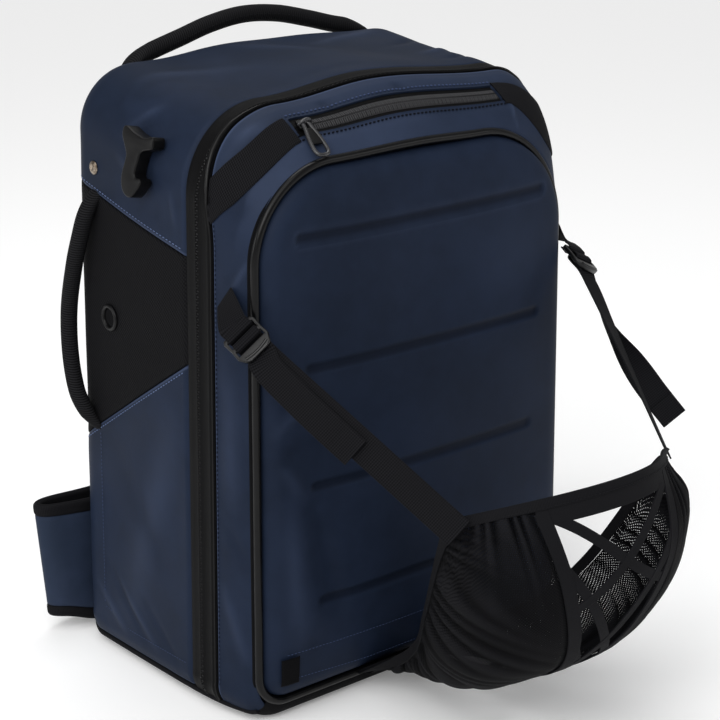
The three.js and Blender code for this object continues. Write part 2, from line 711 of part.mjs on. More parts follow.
// Rivets, vents and gear hooks
function sideFittings() {
  for (const { side, name } of SIDES) {
    const cap = [
      new THREE.Vector2(0, 0),
      new THREE.Vector2(RIVET.radius, 0),
      new THREE.Vector2(RIVET.radius, 0.8),
      new THREE.Vector2(RIVET.radius - 1.6, 1.8),
      new THREE.Vector2(2.2, RIVET.height),
      new THREE.Vector2(0, RIVET.height),
    ];
    const rivet = new THREE.LatheGeometry(cap, 10).rotateX(Math.PI / 2);
    add(`rivet_${name}`, rivet.applyMatrix4(sideFrame(side, sideSpot(side, RIVET.y, RIVET.z, GAP))), STEEL);

    const ring = [
      new THREE.Vector2(0, -1.2),
      new THREE.Vector2(VENT.inner, -1.2),
      new THREE.Vector2(VENT.inner, GAP),
      new THREE.Vector2(VENT.outer, GAP),
      new THREE.Vector2(VENT.outer - 0.6, VENT.height),
      new THREE.Vector2(VENT.inner + 0.4, VENT.height),
      new THREE.Vector2(VENT.inner - 0.6, -0.4),
      new THREE.Vector2(0, -0.4),
    ];
    const vent = new THREE.LatheGeometry(ring, 14).rotateX(Math.PI / 2);
    add(`vent_${name}`, vent.applyMatrix4(sideFrame(side, sideSpot(side, VENT.y, VENT.z, 0.2))), PLASTIC);

    const outline = new THREE.Shape();
    const corners = HOOK_OUTLINE.map(({ y, z }) => new THREE.Vector2(side * y, z));
    outline.setFromPoints(corners);
    const plate = new THREE.ExtrudeGeometry(outline, { depth: HOOK.thick, bevelEnabled: false });
    const spot = sideSpot(side, HOOK.y, HOOK.z, HOOK.stand);
    const turn = sideFrame(side, spot);
    const depths = [HOOK.y + HOOK.stemY - HOOK.stemHalf, HOOK.y + HOOK.stemY + HOOK.stemHalf];
    const heights = [HOOK.z + HOOK.stemZ - HOOK.stemHalf, HOOK.z + HOOK.stemZ + HOOK.stemHalf];
    const seats = depths.flatMap((y) => heights.map((z) => sideSpot(side, y, z).point));
    const foot = Math.max(...seats.map((point) => point.sub(spot.point).dot(spot.normal))) + GAP;
    const stem = new THREE.BoxGeometry(2 * HOOK.stemHalf, 2 * HOOK.stemHalf, 1 - foot);
    stem.translate(side * HOOK.stemY, HOOK.stemZ, (1 + foot) / 2);
    add(`gear_hook_${name}`, join([plate, stem]).applyMatrix4(turn), PLASTIC);
  }
}

// Yoke straps over the upper corners of the gusset
function yokeStraps() {
  for (const { side, name } of SIDES) {
    const grid = [];
    for (let i = 0; i <= 9; i += 1) {
      const f = i / 9;
      const row = [];
      for (const w of [-0.5, 0, 0.5]) {
        const y = mix(YOKE.topY, YOKE.lowY, f ** 1.6) + w * STRAP_WIDTH * 0.98;
        const reach = 1 - 0.17 * (w + 0.5) * f;
        const depth = limit(y, FRONT_Y + 12, ZIP_FRONT - 2 * GAP);
        const section = sectionAt(depth, side);
        const arc = section.shoulder - section.corner;
        const start = (YOKE.topX - (section.half - section.corner)) / section.corner;
        const turn = Math.acos(limit(start, -1, 1)) * (1 - f * reach);
        const dip = Math.max(0, f * reach - 0.92) * 60;
        const x = section.half - section.corner + (section.corner + YOKE.lift) * Math.cos(turn);
        row.push(vec(side * x, depth, arc + (section.corner + YOKE.lift) * Math.sin(turn) - dip));
      }
      grid.push(row);
    }
    add(`yoke_strap_${name}`, wall(grid, WEBBING - 0.3, vec(side, 0, 1)), BLACK_CLOTH);
  }
}

// Point of the net: u from edge to edge, v from the root to the rim
function netPoint(u, v) {
  const row = tableAt(NET, "v", v);
  const bow = 1 - u * u;
  const point = vec(row.edgeX * u, mix(row.edgeY, row.midY, bow), mix(row.edgeZ, row.midZ, bow));
  const swell = row.belly * u * u * (1 - Math.abs(u) ** 5) * 2.2;
  const away = point.clone().sub(from(NET_MIDDLE)).normalize();
  return point.addScaledVector(away, swell);
}

// Outward normal of the net
function netNormal(u, v) {
  const wide = netPoint(Math.min(u + 0.01, 1), v).sub(netPoint(Math.max(u - 0.01, -1), v));
  const high = netPoint(u, Math.min(v + 0.01, 1)).sub(netPoint(u, Math.max(v - 0.01, 0)));
  return wide.cross(high).normalize();
}

// Ribbon on the net between two of its points
function netBar({ u0, v0, u1, v1, width, thick }, steps) {
  const places = [];
  for (let i = 0; i <= steps; i += 1) {
    const f = i / steps;
    const u = mix(u0, u1, f);
    const v = mix(v0, v1, f);
    const ahead = netPoint(mix(u0, u1, Math.min(f + 0.02, 1)), mix(v0, v1, Math.min(f + 0.02, 1)));
    const behind = netPoint(mix(u0, u1, Math.max(f - 0.02, 0)), mix(v0, v1, Math.max(f - 0.02, 0)));
    const across = ahead.sub(behind).cross(netNormal(u, v)).normalize();
    places.push({ at: netPoint(u, v), across });
  }
  const half = Math.floor(steps / 2);
  const facing = netNormal(mix(u0, u1, half / steps), mix(v0, v1, half / steps));
  return band(places, width, thick, facing);
}

// Net pocket
function netPocket() {
  const { width, thick, foot } = LATTICE_FRAME;
  const panelAt = (v) => tableAt(NET, "v", v).panel;
  const rails = SIDES.map(({ side }) => {
    const places = [];
    for (let i = 0; i <= 12; i += 1) {
      const v = mix(0.02, 0.99, i / 12);
      const at = netPoint(side * panelAt(v), v);
      const across = at.clone().sub(netPoint(side * (panelAt(v) - 0.03), v)).normalize();
      places.push({ at: at.addScaledVector(across, -width / 2 - GAP), across });
    }
    const middle = mix(0.02, 0.99, 0.5);
    return band(places, width, thick, netNormal(side * panelAt(middle), middle));
  });
  const cross = [
    netBar({ u0: -0.46, v0: 0.965, u1: 0.46, v1: 0.965, width: 12, thick: 3.4 }, 8),
    netBar({ u0: -0.24, v0: foot, u1: 0.24, v1: foot, width: 14, thick: 3.4 }, 4),
    netBar({ u0: -0.26, v0: 0.05, u1: 0.26, v1: 0.05, width: 16, thick: 3.4 }, 3),
  ];
  const bars = [];
  for (const { high, low } of LATTICE) {
    const start = panelAt(high) - 0.04;
    const end = panelAt(low) - 0.04;
    SIDES.forEach(({ side }, i) => {
      const span = { u0: side * start, v0: high, u1: -side * end, v1: low };
      bars.push(netBar({ ...span, width: LATTICE_BAR.width, thick: LATTICE_BAR.thick[i] }, 6));
    });
  }
  add("net_lattice", join([...rails, ...cross, ...bars]), BLACK_CLOTH);

  const { waves, depth } = NET_GATHERS;
  for (const { side, name } of SIDES) {
    const rows = [];
    const count = waves * 3;
    for (let i = 0; i <= count; i += 1) {
      const v = mix(0, 0.9945, i / count);
      const row = [];
      for (const f of [0, 0.4, 0.75, 1]) {
        const u = side * mix(panelAt(v) + 0.016, 0.995, f);
        const fold = depth * Math.sin(2 * Math.PI * waves * (i / count) + 0.5) * f ** 1.4 * (1 - v ** 6);
        row.push(netPoint(u, v).addScaledVector(netNormal(u, v), fold));
      }
      rows.push(row);
    }
    add(`net_side_${name}`, wall(rows, NET_THICK, vec(side, -1, 0)), BLACK_CLOTH);

    const edge = [];
    for (let i = 0; i <= 14; i += 1) {
      const v = mix(0.01, 0.97, i / 14);
      const at = netPoint(side, v);
      const across = at.clone().sub(netPoint(side * 0.97, v)).normalize();
      at.addScaledVector(across, NET_BINDING.width / 2 + GAP + 0.9);
      edge.push({ at, across });
    }
    const facing = netNormal(side * 0.98, 0.5);
    add(`net_edge_binding_${name}`, band(edge, NET_BINDING.width, NET_BINDING.thick, facing), BLACK_CLOTH);
  }

  const rim = [];
  for (let i = 0; i <= 20; i += 1) {
    const u = mix(-1, 1, i / 20);
    const at = netPoint(u, 1);
    const across = at.clone().sub(netPoint(u, 0.97)).normalize();
    at.addScaledVector(across, NET_BINDING.width / 2 + GAP + 0.3);
    rim.push({ at, across });
  }
  add("net_rim_binding", band(rim, NET_BINDING.width, NET_BINDING.thick, vec(0, -1, 0)), BLACK_CLOTH);
}

// Buckle tabs, ladder-lock buckles and sling straps
function slings() {
  for (const { side, name } of SIDES) {
    const flip = (row) => vec(-side * row.x, row.y, row.z);
    const along = flip(STRAP_ALONG).normalize();
    const across = flip(STRAP_ACROSS);
    across.addScaledVector(along, -across.dot(along)).normalize();
    const out = across.clone().cross(along).normalize();
    if (out.y > 0) out.negate();
    const middle = vec(side * BUCKLE.x, BUCKLE.y, BUCKLE.z);
    const local = (d, n) => middle.clone().addScaledVector(along, d).addScaledVector(out, n);

    const { tab, middle: bar, lip, side: rail } = BUCKLE_BARS;
    const half = BUCKLE.width / 2;
    const plate = new THREE.Shape();
    plate.moveTo(-half + 2, tab[0]);
    plate.lineTo(half - 2, tab[0]);
    plate.lineTo(half, tab[0] + 3);
    plate.lineTo(half, lip[0] + 1);
    plate.lineTo(half - 4, lip[1] - 2);
    plate.lineTo(half - 8, lip[1]);
    plate.lineTo(-half + 8, lip[1]);
    plate.lineTo(-half + 4, lip[1] - 2);
    plate.lineTo(-half, lip[0] + 1);
    plate.lineTo(-half, tab[0] + 3);
    plate.closePath();
    for (const [near, far] of [[tab[1], bar[0]], [bar[1], lip[0]]]) {
      const slot = new THREE.Path();
      slot.moveTo(-half + rail, near);
      slot.lineTo(-half + rail, far);
      slot.lineTo(half - rail, far);
      slot.lineTo(half - rail, near);
      slot.closePath();
      plate.holes.push(slot);
    }
    const frame = new THREE.Matrix4().makeBasis(across, along, out).setPosition(middle);
    const body = new THREE.ExtrudeGeometry(plate, { depth: BUCKLE.thick, bevelEnabled: false });
    body.translate(0, 0, -BUCKLE.thick / 2);
    add(`ladder_lock_${name}`, body.applyMatrix4(frame), PLASTIC);

    const clear = BUCKLE.thick / 2 + GAP + WEBBING / 2 + 0.25;
    const seat = sideSpot(side, TAB_START.y, TAB_START.z, GAP + WEBBING / 2 + 0.3);
    const near = sideSpot(side, TAB_START.y - 9, TAB_START.z - 7, GAP + WEBBING / 2 + 2.2);
    const lying = flip(TAB_ACROSS);
    lying.addScaledVector(seat.normal, -lying.dot(seat.normal)).normalize();
    const loop = [
      { at: seat.point, across: lying },
      { at: near.point, across: lying.clone().lerp(across, 0.3).normalize() },
      { at: local(tab[0] - 5, clear * 0.8), across },
      { at: local(tab[0], clear), across },
      { at: local(tab[1] + 0.5, clear), across },
      { at: local(tab[1] + 1.6, clear * 0.55), across },
      { at: local(tab[1] + 1.6, -clear * 0.55), across },
      { at: local(tab[1] + 0.5, -clear), across },
      { at: local(tab[0], -clear), across },
      { at: local(tab[0] - 3, -clear), across },
    ];
    add(`buckle_tab_${name}`, band(loop, STRAP_WIDTH, WEBBING, out), BLACK_CLOTH);

    const under = clear + WEBBING + GAP;
    const corner = netPoint(side, 1).addScaledVector(out, NET_BINDING.thick / 2 + GAP + WEBBING + 4.4);
    const leave = local(lip[1] + 2, -under);
    const pull = leave.clone().sub(corner).normalize();
    const lean = across.clone().addScaledVector(pull, -across.dot(pull)).normalize();
    const lift = lean.clone().cross(pull).normalize();
    if (lift.dot(out) < 0) lift.negate();
    const strap = [];
    for (const f of [0, 0.25, 0.5, 0.75, 0.93]) {
      strap.push({ at: corner.clone().lerp(leave, f), across: lean });
    }
    for (const [d, n] of [
      [lip[1] - 2, -under],
      [bar[0] + 0.4, -under],
      [bar[0] - 1.6, -under * 0.7],
      [bar[0] - 1.6, clear * 0.55],
      [bar[0] - 0.5, clear],
      [bar[1] + 0.5, clear],
      [bar[1] + 1.6, clear * 0.55],
      [bar[1] + 1.6, -clear * 0.55],
      [bar[1] + 2.7, -clear],
      [lip[1] - 2, -clear],
    ]) {
      strap.push({ at: local(d, n), across });
    }
    if (side < 0) {
      const down = pull.clone().negate();
      for (const reach of [0.08, 0.4, 0.7, 1]) {
        const at = leave.clone().addScaledVector(down, LEFT_TAIL * reach);
        strap.push({ at: at.addScaledVector(lift, WEBBING + GAP), across: lean });
      }
    } else {
      const turns = [0.2, 0.6, 1];
      const view = vec(0.688, -0.234, 0.686);
      RIGHT_TAIL.forEach((row, i) => {
        const end = across.clone().lerp(view, turns[i]).normalize();
        strap.push({ at: from(row), across: end });
      });
    }
    add(`sling_strap_${name}`, band(strap, STRAP_WIDTH, WEBBING, out), BLACK_CLOTH);
  }
}

// Hip wings with bound edges
function hipWings() {
  for (const { side, name } of SIDES) {
    const route = WING_PATH.map(({ x, y }) => vec(-side * x, y, 0));
    const curve = new THREE.CatmullRomCurve3(route, false, "centripetal");
    const rowAt = (f, height) => {
      const p = curve.getPoint(f);
      const out = limit((Math.abs(p.x) - WING.from) / (WING.to - WING.from), 0, 1);
      return vec(p.x, p.y, WING.low + WING.rise * out + height * (1 - 0.08 * out));
    };
    const steps = 16;
    const build = (low, high, thickness) => {
      const grid = [];
      for (let i = 0; i <= steps; i += 1) grid.push([0, 1].map((g) => rowAt(i / steps, mix(low, high, g))));
      const normals = gridNormals(grid);
      const sign = normals[3][0].y < 0 ? 1 : -1;
      return wall(shifted(grid, normals, (sign * thickness) / 2), thickness, vec(side, 0, 0));
    };
    const { binding, height, thick } = WING;
    add(`hip_wing_${name}`, build(binding + GAP, height - binding - GAP, thick), NAVY);
    add(`hip_binding_low_${name}`, build(0, binding, thick + 1.4), BLACK_CLOTH);
    add(`hip_binding_high_${name}`, build(height - binding, height, thick + 1.4), BLACK_CLOTH);
  }
}

// Shoulder straps on the back
function shoulderStraps() {
  for (const { side, name } of SIDES) {
    const route = SHOULDER_PATH.map(({ x, y, z }) => vec(side * x, y, z));
    const curve = new THREE.CatmullRomCurve3(route, false, "centripetal");
    const places = [];
    for (let i = 0; i <= 10; i += 1) places.push({ at: curve.getPoint(i / 10), across: vec(1, 0, 0) });
    add(`shoulder_strap_${name}`, band(places, SHOULDER.width, SHOULDER.thick, vec(0, 1, 0), 2), BLACK_CLOTH);
  }
}

rearShell();
baseAndBack();
frontSection();
frontPanel();
pocketSlider();
handles();
sideFittings();
yokeStraps();
netPocket();
slings();
hipWings();
shoulderStraps();

export default group;
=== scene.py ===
"""Looks of a boot bag with a net pocket folded out in front.

Shapes are worked out with numpy in millimetres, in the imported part's own frame: +Z up, the front faces
-Y and the origin is the middle of the base on the floor. Meshes are written in metres.
"""

from __future__ import annotations

import logging
import math
from dataclasses import dataclass
from enum import Enum
from typing import Sequence, TypeVar, Union

import bmesh
import bpy
import numpy as np
from mathutils import Matrix


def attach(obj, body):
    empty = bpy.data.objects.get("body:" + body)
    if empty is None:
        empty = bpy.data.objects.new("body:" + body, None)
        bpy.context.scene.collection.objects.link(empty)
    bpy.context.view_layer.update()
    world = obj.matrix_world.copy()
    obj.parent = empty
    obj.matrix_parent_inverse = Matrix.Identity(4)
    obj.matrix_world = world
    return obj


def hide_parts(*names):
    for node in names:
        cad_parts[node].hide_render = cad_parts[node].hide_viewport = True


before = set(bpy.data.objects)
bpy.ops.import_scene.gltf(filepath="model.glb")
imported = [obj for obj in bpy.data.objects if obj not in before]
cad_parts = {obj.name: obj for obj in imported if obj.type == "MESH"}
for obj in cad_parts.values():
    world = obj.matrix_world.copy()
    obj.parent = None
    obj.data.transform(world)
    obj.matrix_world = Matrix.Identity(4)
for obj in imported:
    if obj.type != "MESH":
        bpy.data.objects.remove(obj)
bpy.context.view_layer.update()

Array = np.ndarray
Pair = tuple[float, float]
Triple = tuple[float, float, float]
Table = Sequence[Sequence[float]]
T = TypeVar("T")
MM = 0.001
LOG = logging.getLogger("boot_bag")
UP = np.array([0.0, 0.0, 1.0])
AHEAD = np.array([0.0, -1.0, 0.0])
BEHIND = np.array([0.0, 1.0, 0.0])


class Side(Enum):
    """The two sides of the bag, seen from its front."""

    LEFT = -1
    RIGHT = 1

    def of(self, name: str) -> str:
        """Name of this side's piece."""
        return f"{name}_{self.name.lower()}"

    def pick(self, left: T, right: T) -> T:
        """The left or the right one of two values."""
        return right if self is Side.RIGHT else left


# Numpy helpers


def unit(vectors: Array) -> Array:
    """Vectors scaled to a length of one."""
    return vectors / np.maximum(np.linalg.norm(vectors, axis=-1, keepdims=True), 1e-12)


def smooth(low: float, high: float, value: Array) -> Array:
    """Smooth step from 0 at low to 1 at high: three t squared less two t cubed."""
    t = np.clip((value - low) / (high - low), 0.0, 1.0)
    return t * t * (3.0 - 2.0 * t)


def hermite(rows: Table, place: Array) -> Array:
    """Rows of a table as smooth curves over their first column.

    Each stretch is a cubic whose end slopes come from the rows on both sides of its ends.

    Args:
        rows: Table with its key in the first column, in rising order.
        place: Keys to read the table at.

    Returns:
        All columns at each place, as an array of one more axis.
    """
    rows = np.asarray(rows, float)
    key = rows[:, 0]
    at = np.clip(np.asarray(place, float), key[0], key[-1])
    i = np.clip(np.searchsorted(key, at, side="left") - 1, 0, len(key) - 2)
    before, after = np.maximum(i - 1, 0), np.minimum(i + 2, len(key) - 1)
    span = (key[i + 1] - key[i])[..., None]
    t = (at - key[i])[..., None] / span
    a, b = rows[i], rows[i + 1]
    slope_a = (b - rows[before]) / (key[i + 1] - key[before])[..., None] * span
    slope_b = (rows[after] - a) / (key[after] - key[i])[..., None] * span
    t2, t3 = t * t, t * t * t
    ends = a * (2 * t3 - 3 * t2 + 1) + slope_a * (t3 - 2 * t2 + t)
    return ends + b * (3 * t2 - 2 * t3) + slope_b * (t3 - t2)


def xyz(x: Array, y: Array, z: Array) -> Array:
    """Points of three coordinates that are spread to one form."""
    return np.stack(np.broadcast_arrays(x, y, z), axis=-1)


def run_of(points: Array, axis: int = 0) -> Array:
    """Running length along an axis of points, 0 at the first one."""
    steps = np.diff(points, axis=axis, prepend=np.take(points, [0], axis))
    return np.cumsum(np.linalg.norm(steps, axis=-1), axis=axis)


def read(at: Array, steps: Array, rows: Array) -> Array:
    """Rows of a table between its steps, by straight lines."""
    return np.column_stack([np.interp(at, steps, column) for column in rows.T])


def bell(distance: Array, width: float) -> Array:
    """Bell curve: e to the power of minus the squared share of the distance in the width."""
    return np.exp(-((distance / width) ** 2))


def square_to(vectors: Array, axis: Array) -> Array:
    """Unit part of vectors that is square to unit axes."""
    return unit(vectors - np.sum(vectors * axis, axis=-1, keepdims=True) * axis)


def toward(vector: Array, aim: Array) -> Array:
    """The vector, or its opposite where that points more to the aim."""
    return vector if vector @ aim > 0 else -vector


def symmetric(half: Table) -> Array:
    """Closed outline of its right half and that half's mirror image."""
    return np.vstack([half, np.asarray(half, float)[::-1] * (-1.0, 1.0)])


def mirrored(values: Array) -> Array:
    """Values that rise from 0, with their negatives before them."""
    return np.concatenate([-values[::-1], values[1:]])


def along(points: Array, count: int) -> Array:
    """Smooth curve through points, at even steps of its length.

    Args:
        points: Places in the first three columns, and any columns that go with them.
        count: Number of points on the curve.

    Returns:
        The curve's points with the same columns.
    """
    points = np.asarray(points, float)
    chords = run_of(points[:, :3])
    fine = hermite(np.column_stack([chords, points]), np.linspace(0.0, chords[-1], 60 * len(points)))[:, 1:]
    steps = run_of(fine[:, :3])
    return read(np.linspace(0.0, steps[-1], count), steps, fine)


def loop_along(points: Array, count: int) -> Array:
    """Smooth closed curve through points: the curve of three turns, cut to its middle turn."""
    turns = along(np.vstack([points, points, points, points[:1]]), 3 * count + 1)
    return turns[count : 2 * count]


def normals_of(grid: Array) -> Array:
    """Unit normals of a grid of points: the cross product of its two directions."""
    return unit(np.cross(np.gradient(grid, axis=1), np.gradient(grid, axis=0)))


def spread(count: int, ends: float, fine: int) -> Array:
    """Parameters from 0 to 1 in even steps, with finer ones in the ends' share of the range."""
    stretch = ends * (1.0 - np.cos(np.linspace(0.0, np.pi / 2, fine + 1)))[:-1]
    return np.concatenate([stretch, np.linspace(ends, 1.0 - ends, count + 1), (1.0 - stretch)[::-1]])


def ripple(points: Array, wave: float, seed: int) -> Array:
    """Soft unevenness between about -1 and 1: a sum of sine waves in seeded directions.

    Args:
        points: Places in millimetres.
        wave: Shortest wavelength in millimetres.
        seed: Seed of the directions and phases.

    Returns:
        One value for each place.
    """
    rng = np.random.default_rng(seed)
    directions = unit(rng.normal(size=(9, 3)))
    lengths = wave * rng.uniform(1.0, 2.2, size=(9, 1))
    phases = rng.uniform(0.0, 2 * np.pi, size=9)
    return np.sin(points @ (2 * np.pi * directions / lengths).T + phases).mean(axis=-1) * 1.7


def folds(points: Array, table: Table) -> Array:
    """Height of soft creases: each is a bell across a straight line that fades to its ends.

    Args:
        points: Places in millimetres.
        table: Rows of start x, y, z, end x, y, z, half width and height, negative for a dent.

    Returns:
        The height at each place.
    """
    height = np.zeros(points.shape[:-1])
    for x0, y0, z0, x1, y1, z1, width, rise in table:
        start, run = np.array([x0, y0, z0]), np.array([x1 - x0, y1 - y0, z1 - z0])
        share = np.clip((points - start) @ run / (run @ run), 0.0, 1.0)
        gap = np.linalg.norm(points - start - share[..., None] * run, axis=-1)
        height += rise * bell(gap, width) * (0.35 + 0.65 * np.sin(np.pi * share))
    return height


def hem(distance: Array, radius: float) -> Array:
    """Depth of a turned-in edge: a quarter circle over the last radius before the edge."""
    inside = np.clip(radius - distance, 0.0, radius)
    return radius - np.sqrt(np.maximum(radius**2 - inside**2, 0.0))


# Meshes


@dataclass
class Shape:
    """Points in millimetres, faces of four corners, a flat map in millimetres and a shade for each point.

    The shade is painted light: it goes from -1 for a painted highlight to 1 for painted shade. Points that
    coincide are merged where weld is set.
    """

    verts: Array
    quads: Array
    flat: Array
    shade: Array | None = None
    weld: bool = False

    def __add__(self, other: "Shape") -> "Shape":
        """Both shapes in one."""
        both = (self.verts, other.verts), (self.quads, other.quads + len(self.verts)), (self.flat, other.flat)
        return Shape(*map(np.vstack, both), weld=self.weld or other.weld)


@dataclass(frozen=True)
class Place:
    """A local frame: across, up and out directions at a point."""

    origin: Array
    across: Array
    up: Array
    out: Array

    def put(self, local: Array) -> Array:
        """Local points (across, up, out) in the part's frame."""
        return self.origin + local @ np.stack([self.across, self.up, self.out])

    def moved(self, distance: float) -> "Place":
        """The same frame at a distance outward."""
        return Place(self.at(0.0, distance), self.across, self.up, self.out)

    def at(self, up: float, out: float) -> Array:
        """Point at lengths up and out from the frame's origin."""
        return self.origin + up * self.up + out * self.out

    def matrix(self) -> Matrix:
        """The frame as a matrix in metres."""
        columns = np.column_stack([self.across, self.up, self.out, self.origin * MM])
        return Matrix(np.vstack([columns, [0, 0, 0, 1]]).tolist())


def grid_quads(rows: int, cols: int, wrap_rows: bool = False, wrap_cols: bool = False) -> Array:
    """Faces of a grid of rows times cols points, closed in either direction on request."""
    index = np.pad(np.arange(rows * cols).reshape(rows, cols), ((0, wrap_rows), (0, wrap_cols)), "wrap")
    return np.stack([index[:-1, :-1], index[:-1, 1:], index[1:, 1:], index[1:, :-1]], axis=-1).reshape(-1, 4)


def flat_map(grid: Array) -> Array:
    """Flat map of a grid: running lengths across its columns and along its rows, from its middle."""
    across, down = run_of(grid, 1), run_of(grid)
    return np.stack([across - across[:, [grid.shape[1] // 2]], down - down[len(grid) // 2]], axis=-1)


def edge_gap(flat: Array) -> Array:
    """Distance of each point of a flat map from the nearest edge of its grid."""
    x, y = flat[..., 0], flat[..., 1]
    return np.minimum.reduce([x - x[:, :1], x[:, -1:] - x, y - y[:1], y[-1:] - y])


def shell(front: Array, back: Array, flat: Array) -> Shape:
    """Closed shape of two grids of points that face away from each other, and a rim between them.

    Args:
        front: Points of the outer side.
        back: Points of the inner side.
        flat: Flat map of both grids.

    Returns:
        The closed shape.
    """
    rows, cols = front.shape[:2]
    count = rows * cols
    index = np.arange(count).reshape(rows, cols)
    loop = np.concatenate([index[0, :-1], index[:-1, -1], index[-1, :0:-1], index[:0:-1, 0]])
    ahead = np.roll(loop, -1)
    rim = np.stack([ahead, loop, loop + count, ahead + count], axis=-1)
    quads = grid_quads(rows, cols)
    quads = np.vstack([quads, quads[:, ::-1] + count, rim])
    verts = np.stack([front, back]).reshape(-1, 3)
    return Shape(verts, quads, np.tile(flat.reshape(-1, 2), (2, 1)))


def wall(grid: Array, thickness: float, facing: Array, shade: Array | None = None) -> Shape:
    """Closed cloth wall: a grid of outer points and the same grid set back by the thickness.

    Args:
        grid: Outer points.
        thickness: Distance to the inner points.
        facing: Direction or directions that the outer side faces.
        shade: Shade of the outer points.

    Returns:
        The closed shape.
    """
    shade = np.zeros(grid.shape[:2]) if shade is None else shade
    if np.sum(normals_of(grid) * facing) < 0:
        grid, shade = grid[:, ::-1], shade[:, ::-1]
    made = shell(grid, grid - normals_of(grid) * thickness, flat_map(grid))
    made.shade = np.tile(shade.ravel(), 2)
    return made


def swept(rings: Array, closed: bool = False) -> Shape:
    """Skin of a row of closed rings; an open row is closed by drawing its end rings to their middles.

    Args:
        rings: Points by ring and place on the ring.
        closed: Whether the last ring joins the first one.

    Returns:
        The closed shape.
    """
    if not closed:
        ends = rings[[0, -1]]
        caps = np.broadcast_to(ends.mean(axis=1, keepdims=True), ends.shape)
        rings = np.concatenate([caps[:1], rings, caps[1:]])
    flat = flat_map(np.concatenate([rings, rings[:, :1]], axis=1))[:, :-1].reshape(-1, 2)
    return Shape(rings.reshape(-1, 3), grid_quads(*rings.shape[:2], closed, True), flat, weld=not closed)


def tube(path: Array, radius: Array | Pair, sides: int, lean: Array, closed: bool = False) -> Shape:
    """Round or oval tube along a path.

    Args:
        path: Middle line.
        radius: Radii across and along the lean direction, for the path or for each of its points.
        sides: Points on each ring.
        lean: Direction or directions that the ring's second axis leans to.
        closed: Whether the path is a closed loop.

    Returns:
        The tube.
    """
    if closed:
        tangent = unit(np.roll(path, -1, axis=0) - np.roll(path, 1, axis=0))
    else:
        tangent = unit(np.gradient(path, axis=0))
    across = unit(np.cross(tangent, np.broadcast_to(lean, path.shape)))
    out = np.cross(across, tangent)
    radii = np.broadcast_to(radius, (len(path), 2))
    angle = np.linspace(0.0, 2 * np.pi, sides, endpoint=False)
    rings = path[:, None] + radii[:, :1, None] * np.cos(angle)[:, None] * across[:, None]
    rings = rings + radii[:, 1:, None] * np.sin(angle)[:, None] * out[:, None]
    return swept(rings, closed)


def webbing(path: Array, across: Array, width: float, thick: float) -> Shape:
    """Flat woven band with soft edges: a low oval section with flat faces, carried along a path.

    Args:
        path: Middle line.
        across: Directions of the band's width.
        width: Band width.
        thick: Band thickness.

    Returns:
        The band with closed ends.
    """
    tangent = unit(np.gradient(path, axis=0))
    across = square_to(across, tangent)
    out = np.cross(tangent, across)
    place = width * np.array([-0.5, -0.485, -0.45, -0.38, -0.2, 0.0, 0.2, 0.38, 0.45, 0.485, 0.5])
    rise = thick * np.array([0.0, 0.34, 0.5, 0.46, 0.46, 0.46, 0.46, 0.46, 0.5, 0.34, 0.0])
    place = np.concatenate([place, place[-2:0:-1]])
    rise = np.concatenate([rise, -rise[-2:0:-1]])
    rings = path[:, None] + place[:, None] * across[:, None] + rise[:, None] * out[:, None]
    flats = path[[0, -1], None] + place[:, None] * across[[0, -1], None]
    rings = np.concatenate([flats[:1], rings, flats[1:]])
    steps = run_of(path)
    steps = np.concatenate([steps[:1], steps, steps[-1:]])
    flat = np.stack(np.broadcast_arrays(place[None], steps[:, None]), axis=-1).reshape(-1, 2)
    return Shape(rings.reshape(-1, 3), grid_quads(*rings.shape[:2], False, True), flat, weld=True)


def turned(profile: Table, sides: int, place: Place) -> Shape:
    """Profile of radius and height turned round the place's out direction.

    Args:
        profile: Rows of radius and height.
        sides: Points on each ring.
        place: Where it stands.

    Returns:
        The turned shape.
    """
    angle = np.linspace(0.0, 2 * np.pi, sides, endpoint=False)
    radius, height = np.asarray(profile, float).T[..., None]
    local = xyz(radius * np.cos(angle), radius * np.sin(angle), height).reshape(-1, 3)
    return Shape(place.put(local), grid_quads(len(profile), sides, False, True), local[:, :2], weld=True)


def repeated(unit_shape: Shape, origins: Array, axes: tuple[Array, Array, Array]) -> Shape:
    """A small shape set at many places.

    Args:
        unit_shape: The shape in local coordinates.
        origins: Places.
        axes: Directions of the local axes at each place.

    Returns:
        All copies in one shape.
    """
    turn = np.stack([np.broadcast_to(axis, origins.shape) for axis in axes], axis=1)
    verts = origins[:, None] + np.einsum("kc,ncd->nkd", unit_shape.verts, turn)
    step = np.arange(len(origins))[:, None, None] * len(unit_shape.verts)
    quads = (unit_shape.quads[None] + step).reshape(-1, 4)
    flat = np.tile(unit_shape.flat, (len(origins), 1))
    return Shape(verts.reshape(-1, 3), quads, flat, weld=unit_shape.weld)


def bead(length: float, width: float, height: float) -> Shape:
    """Small rounded bar along its first axis: five rings of six points, for stitches and zip teeth.

    Args:
        length: Size along the bar.
        width: Size across it.
        height: Size outward.

    Returns:
        The bar in local coordinates.
    """
    at = np.array([-0.5, -0.36, 0.0, 0.36, 0.5]) * length
    size = np.array([0.35, 0.9, 1.0, 0.9, 0.35])
    angle = np.linspace(0.0, 2 * np.pi, 6, endpoint=False)
    y, z = 0.5 * width * np.cos(angle), 0.5 * height * np.sin(angle)
    return swept(xyz(at[:, None], size[:, None] * y, size[:, None] * z))


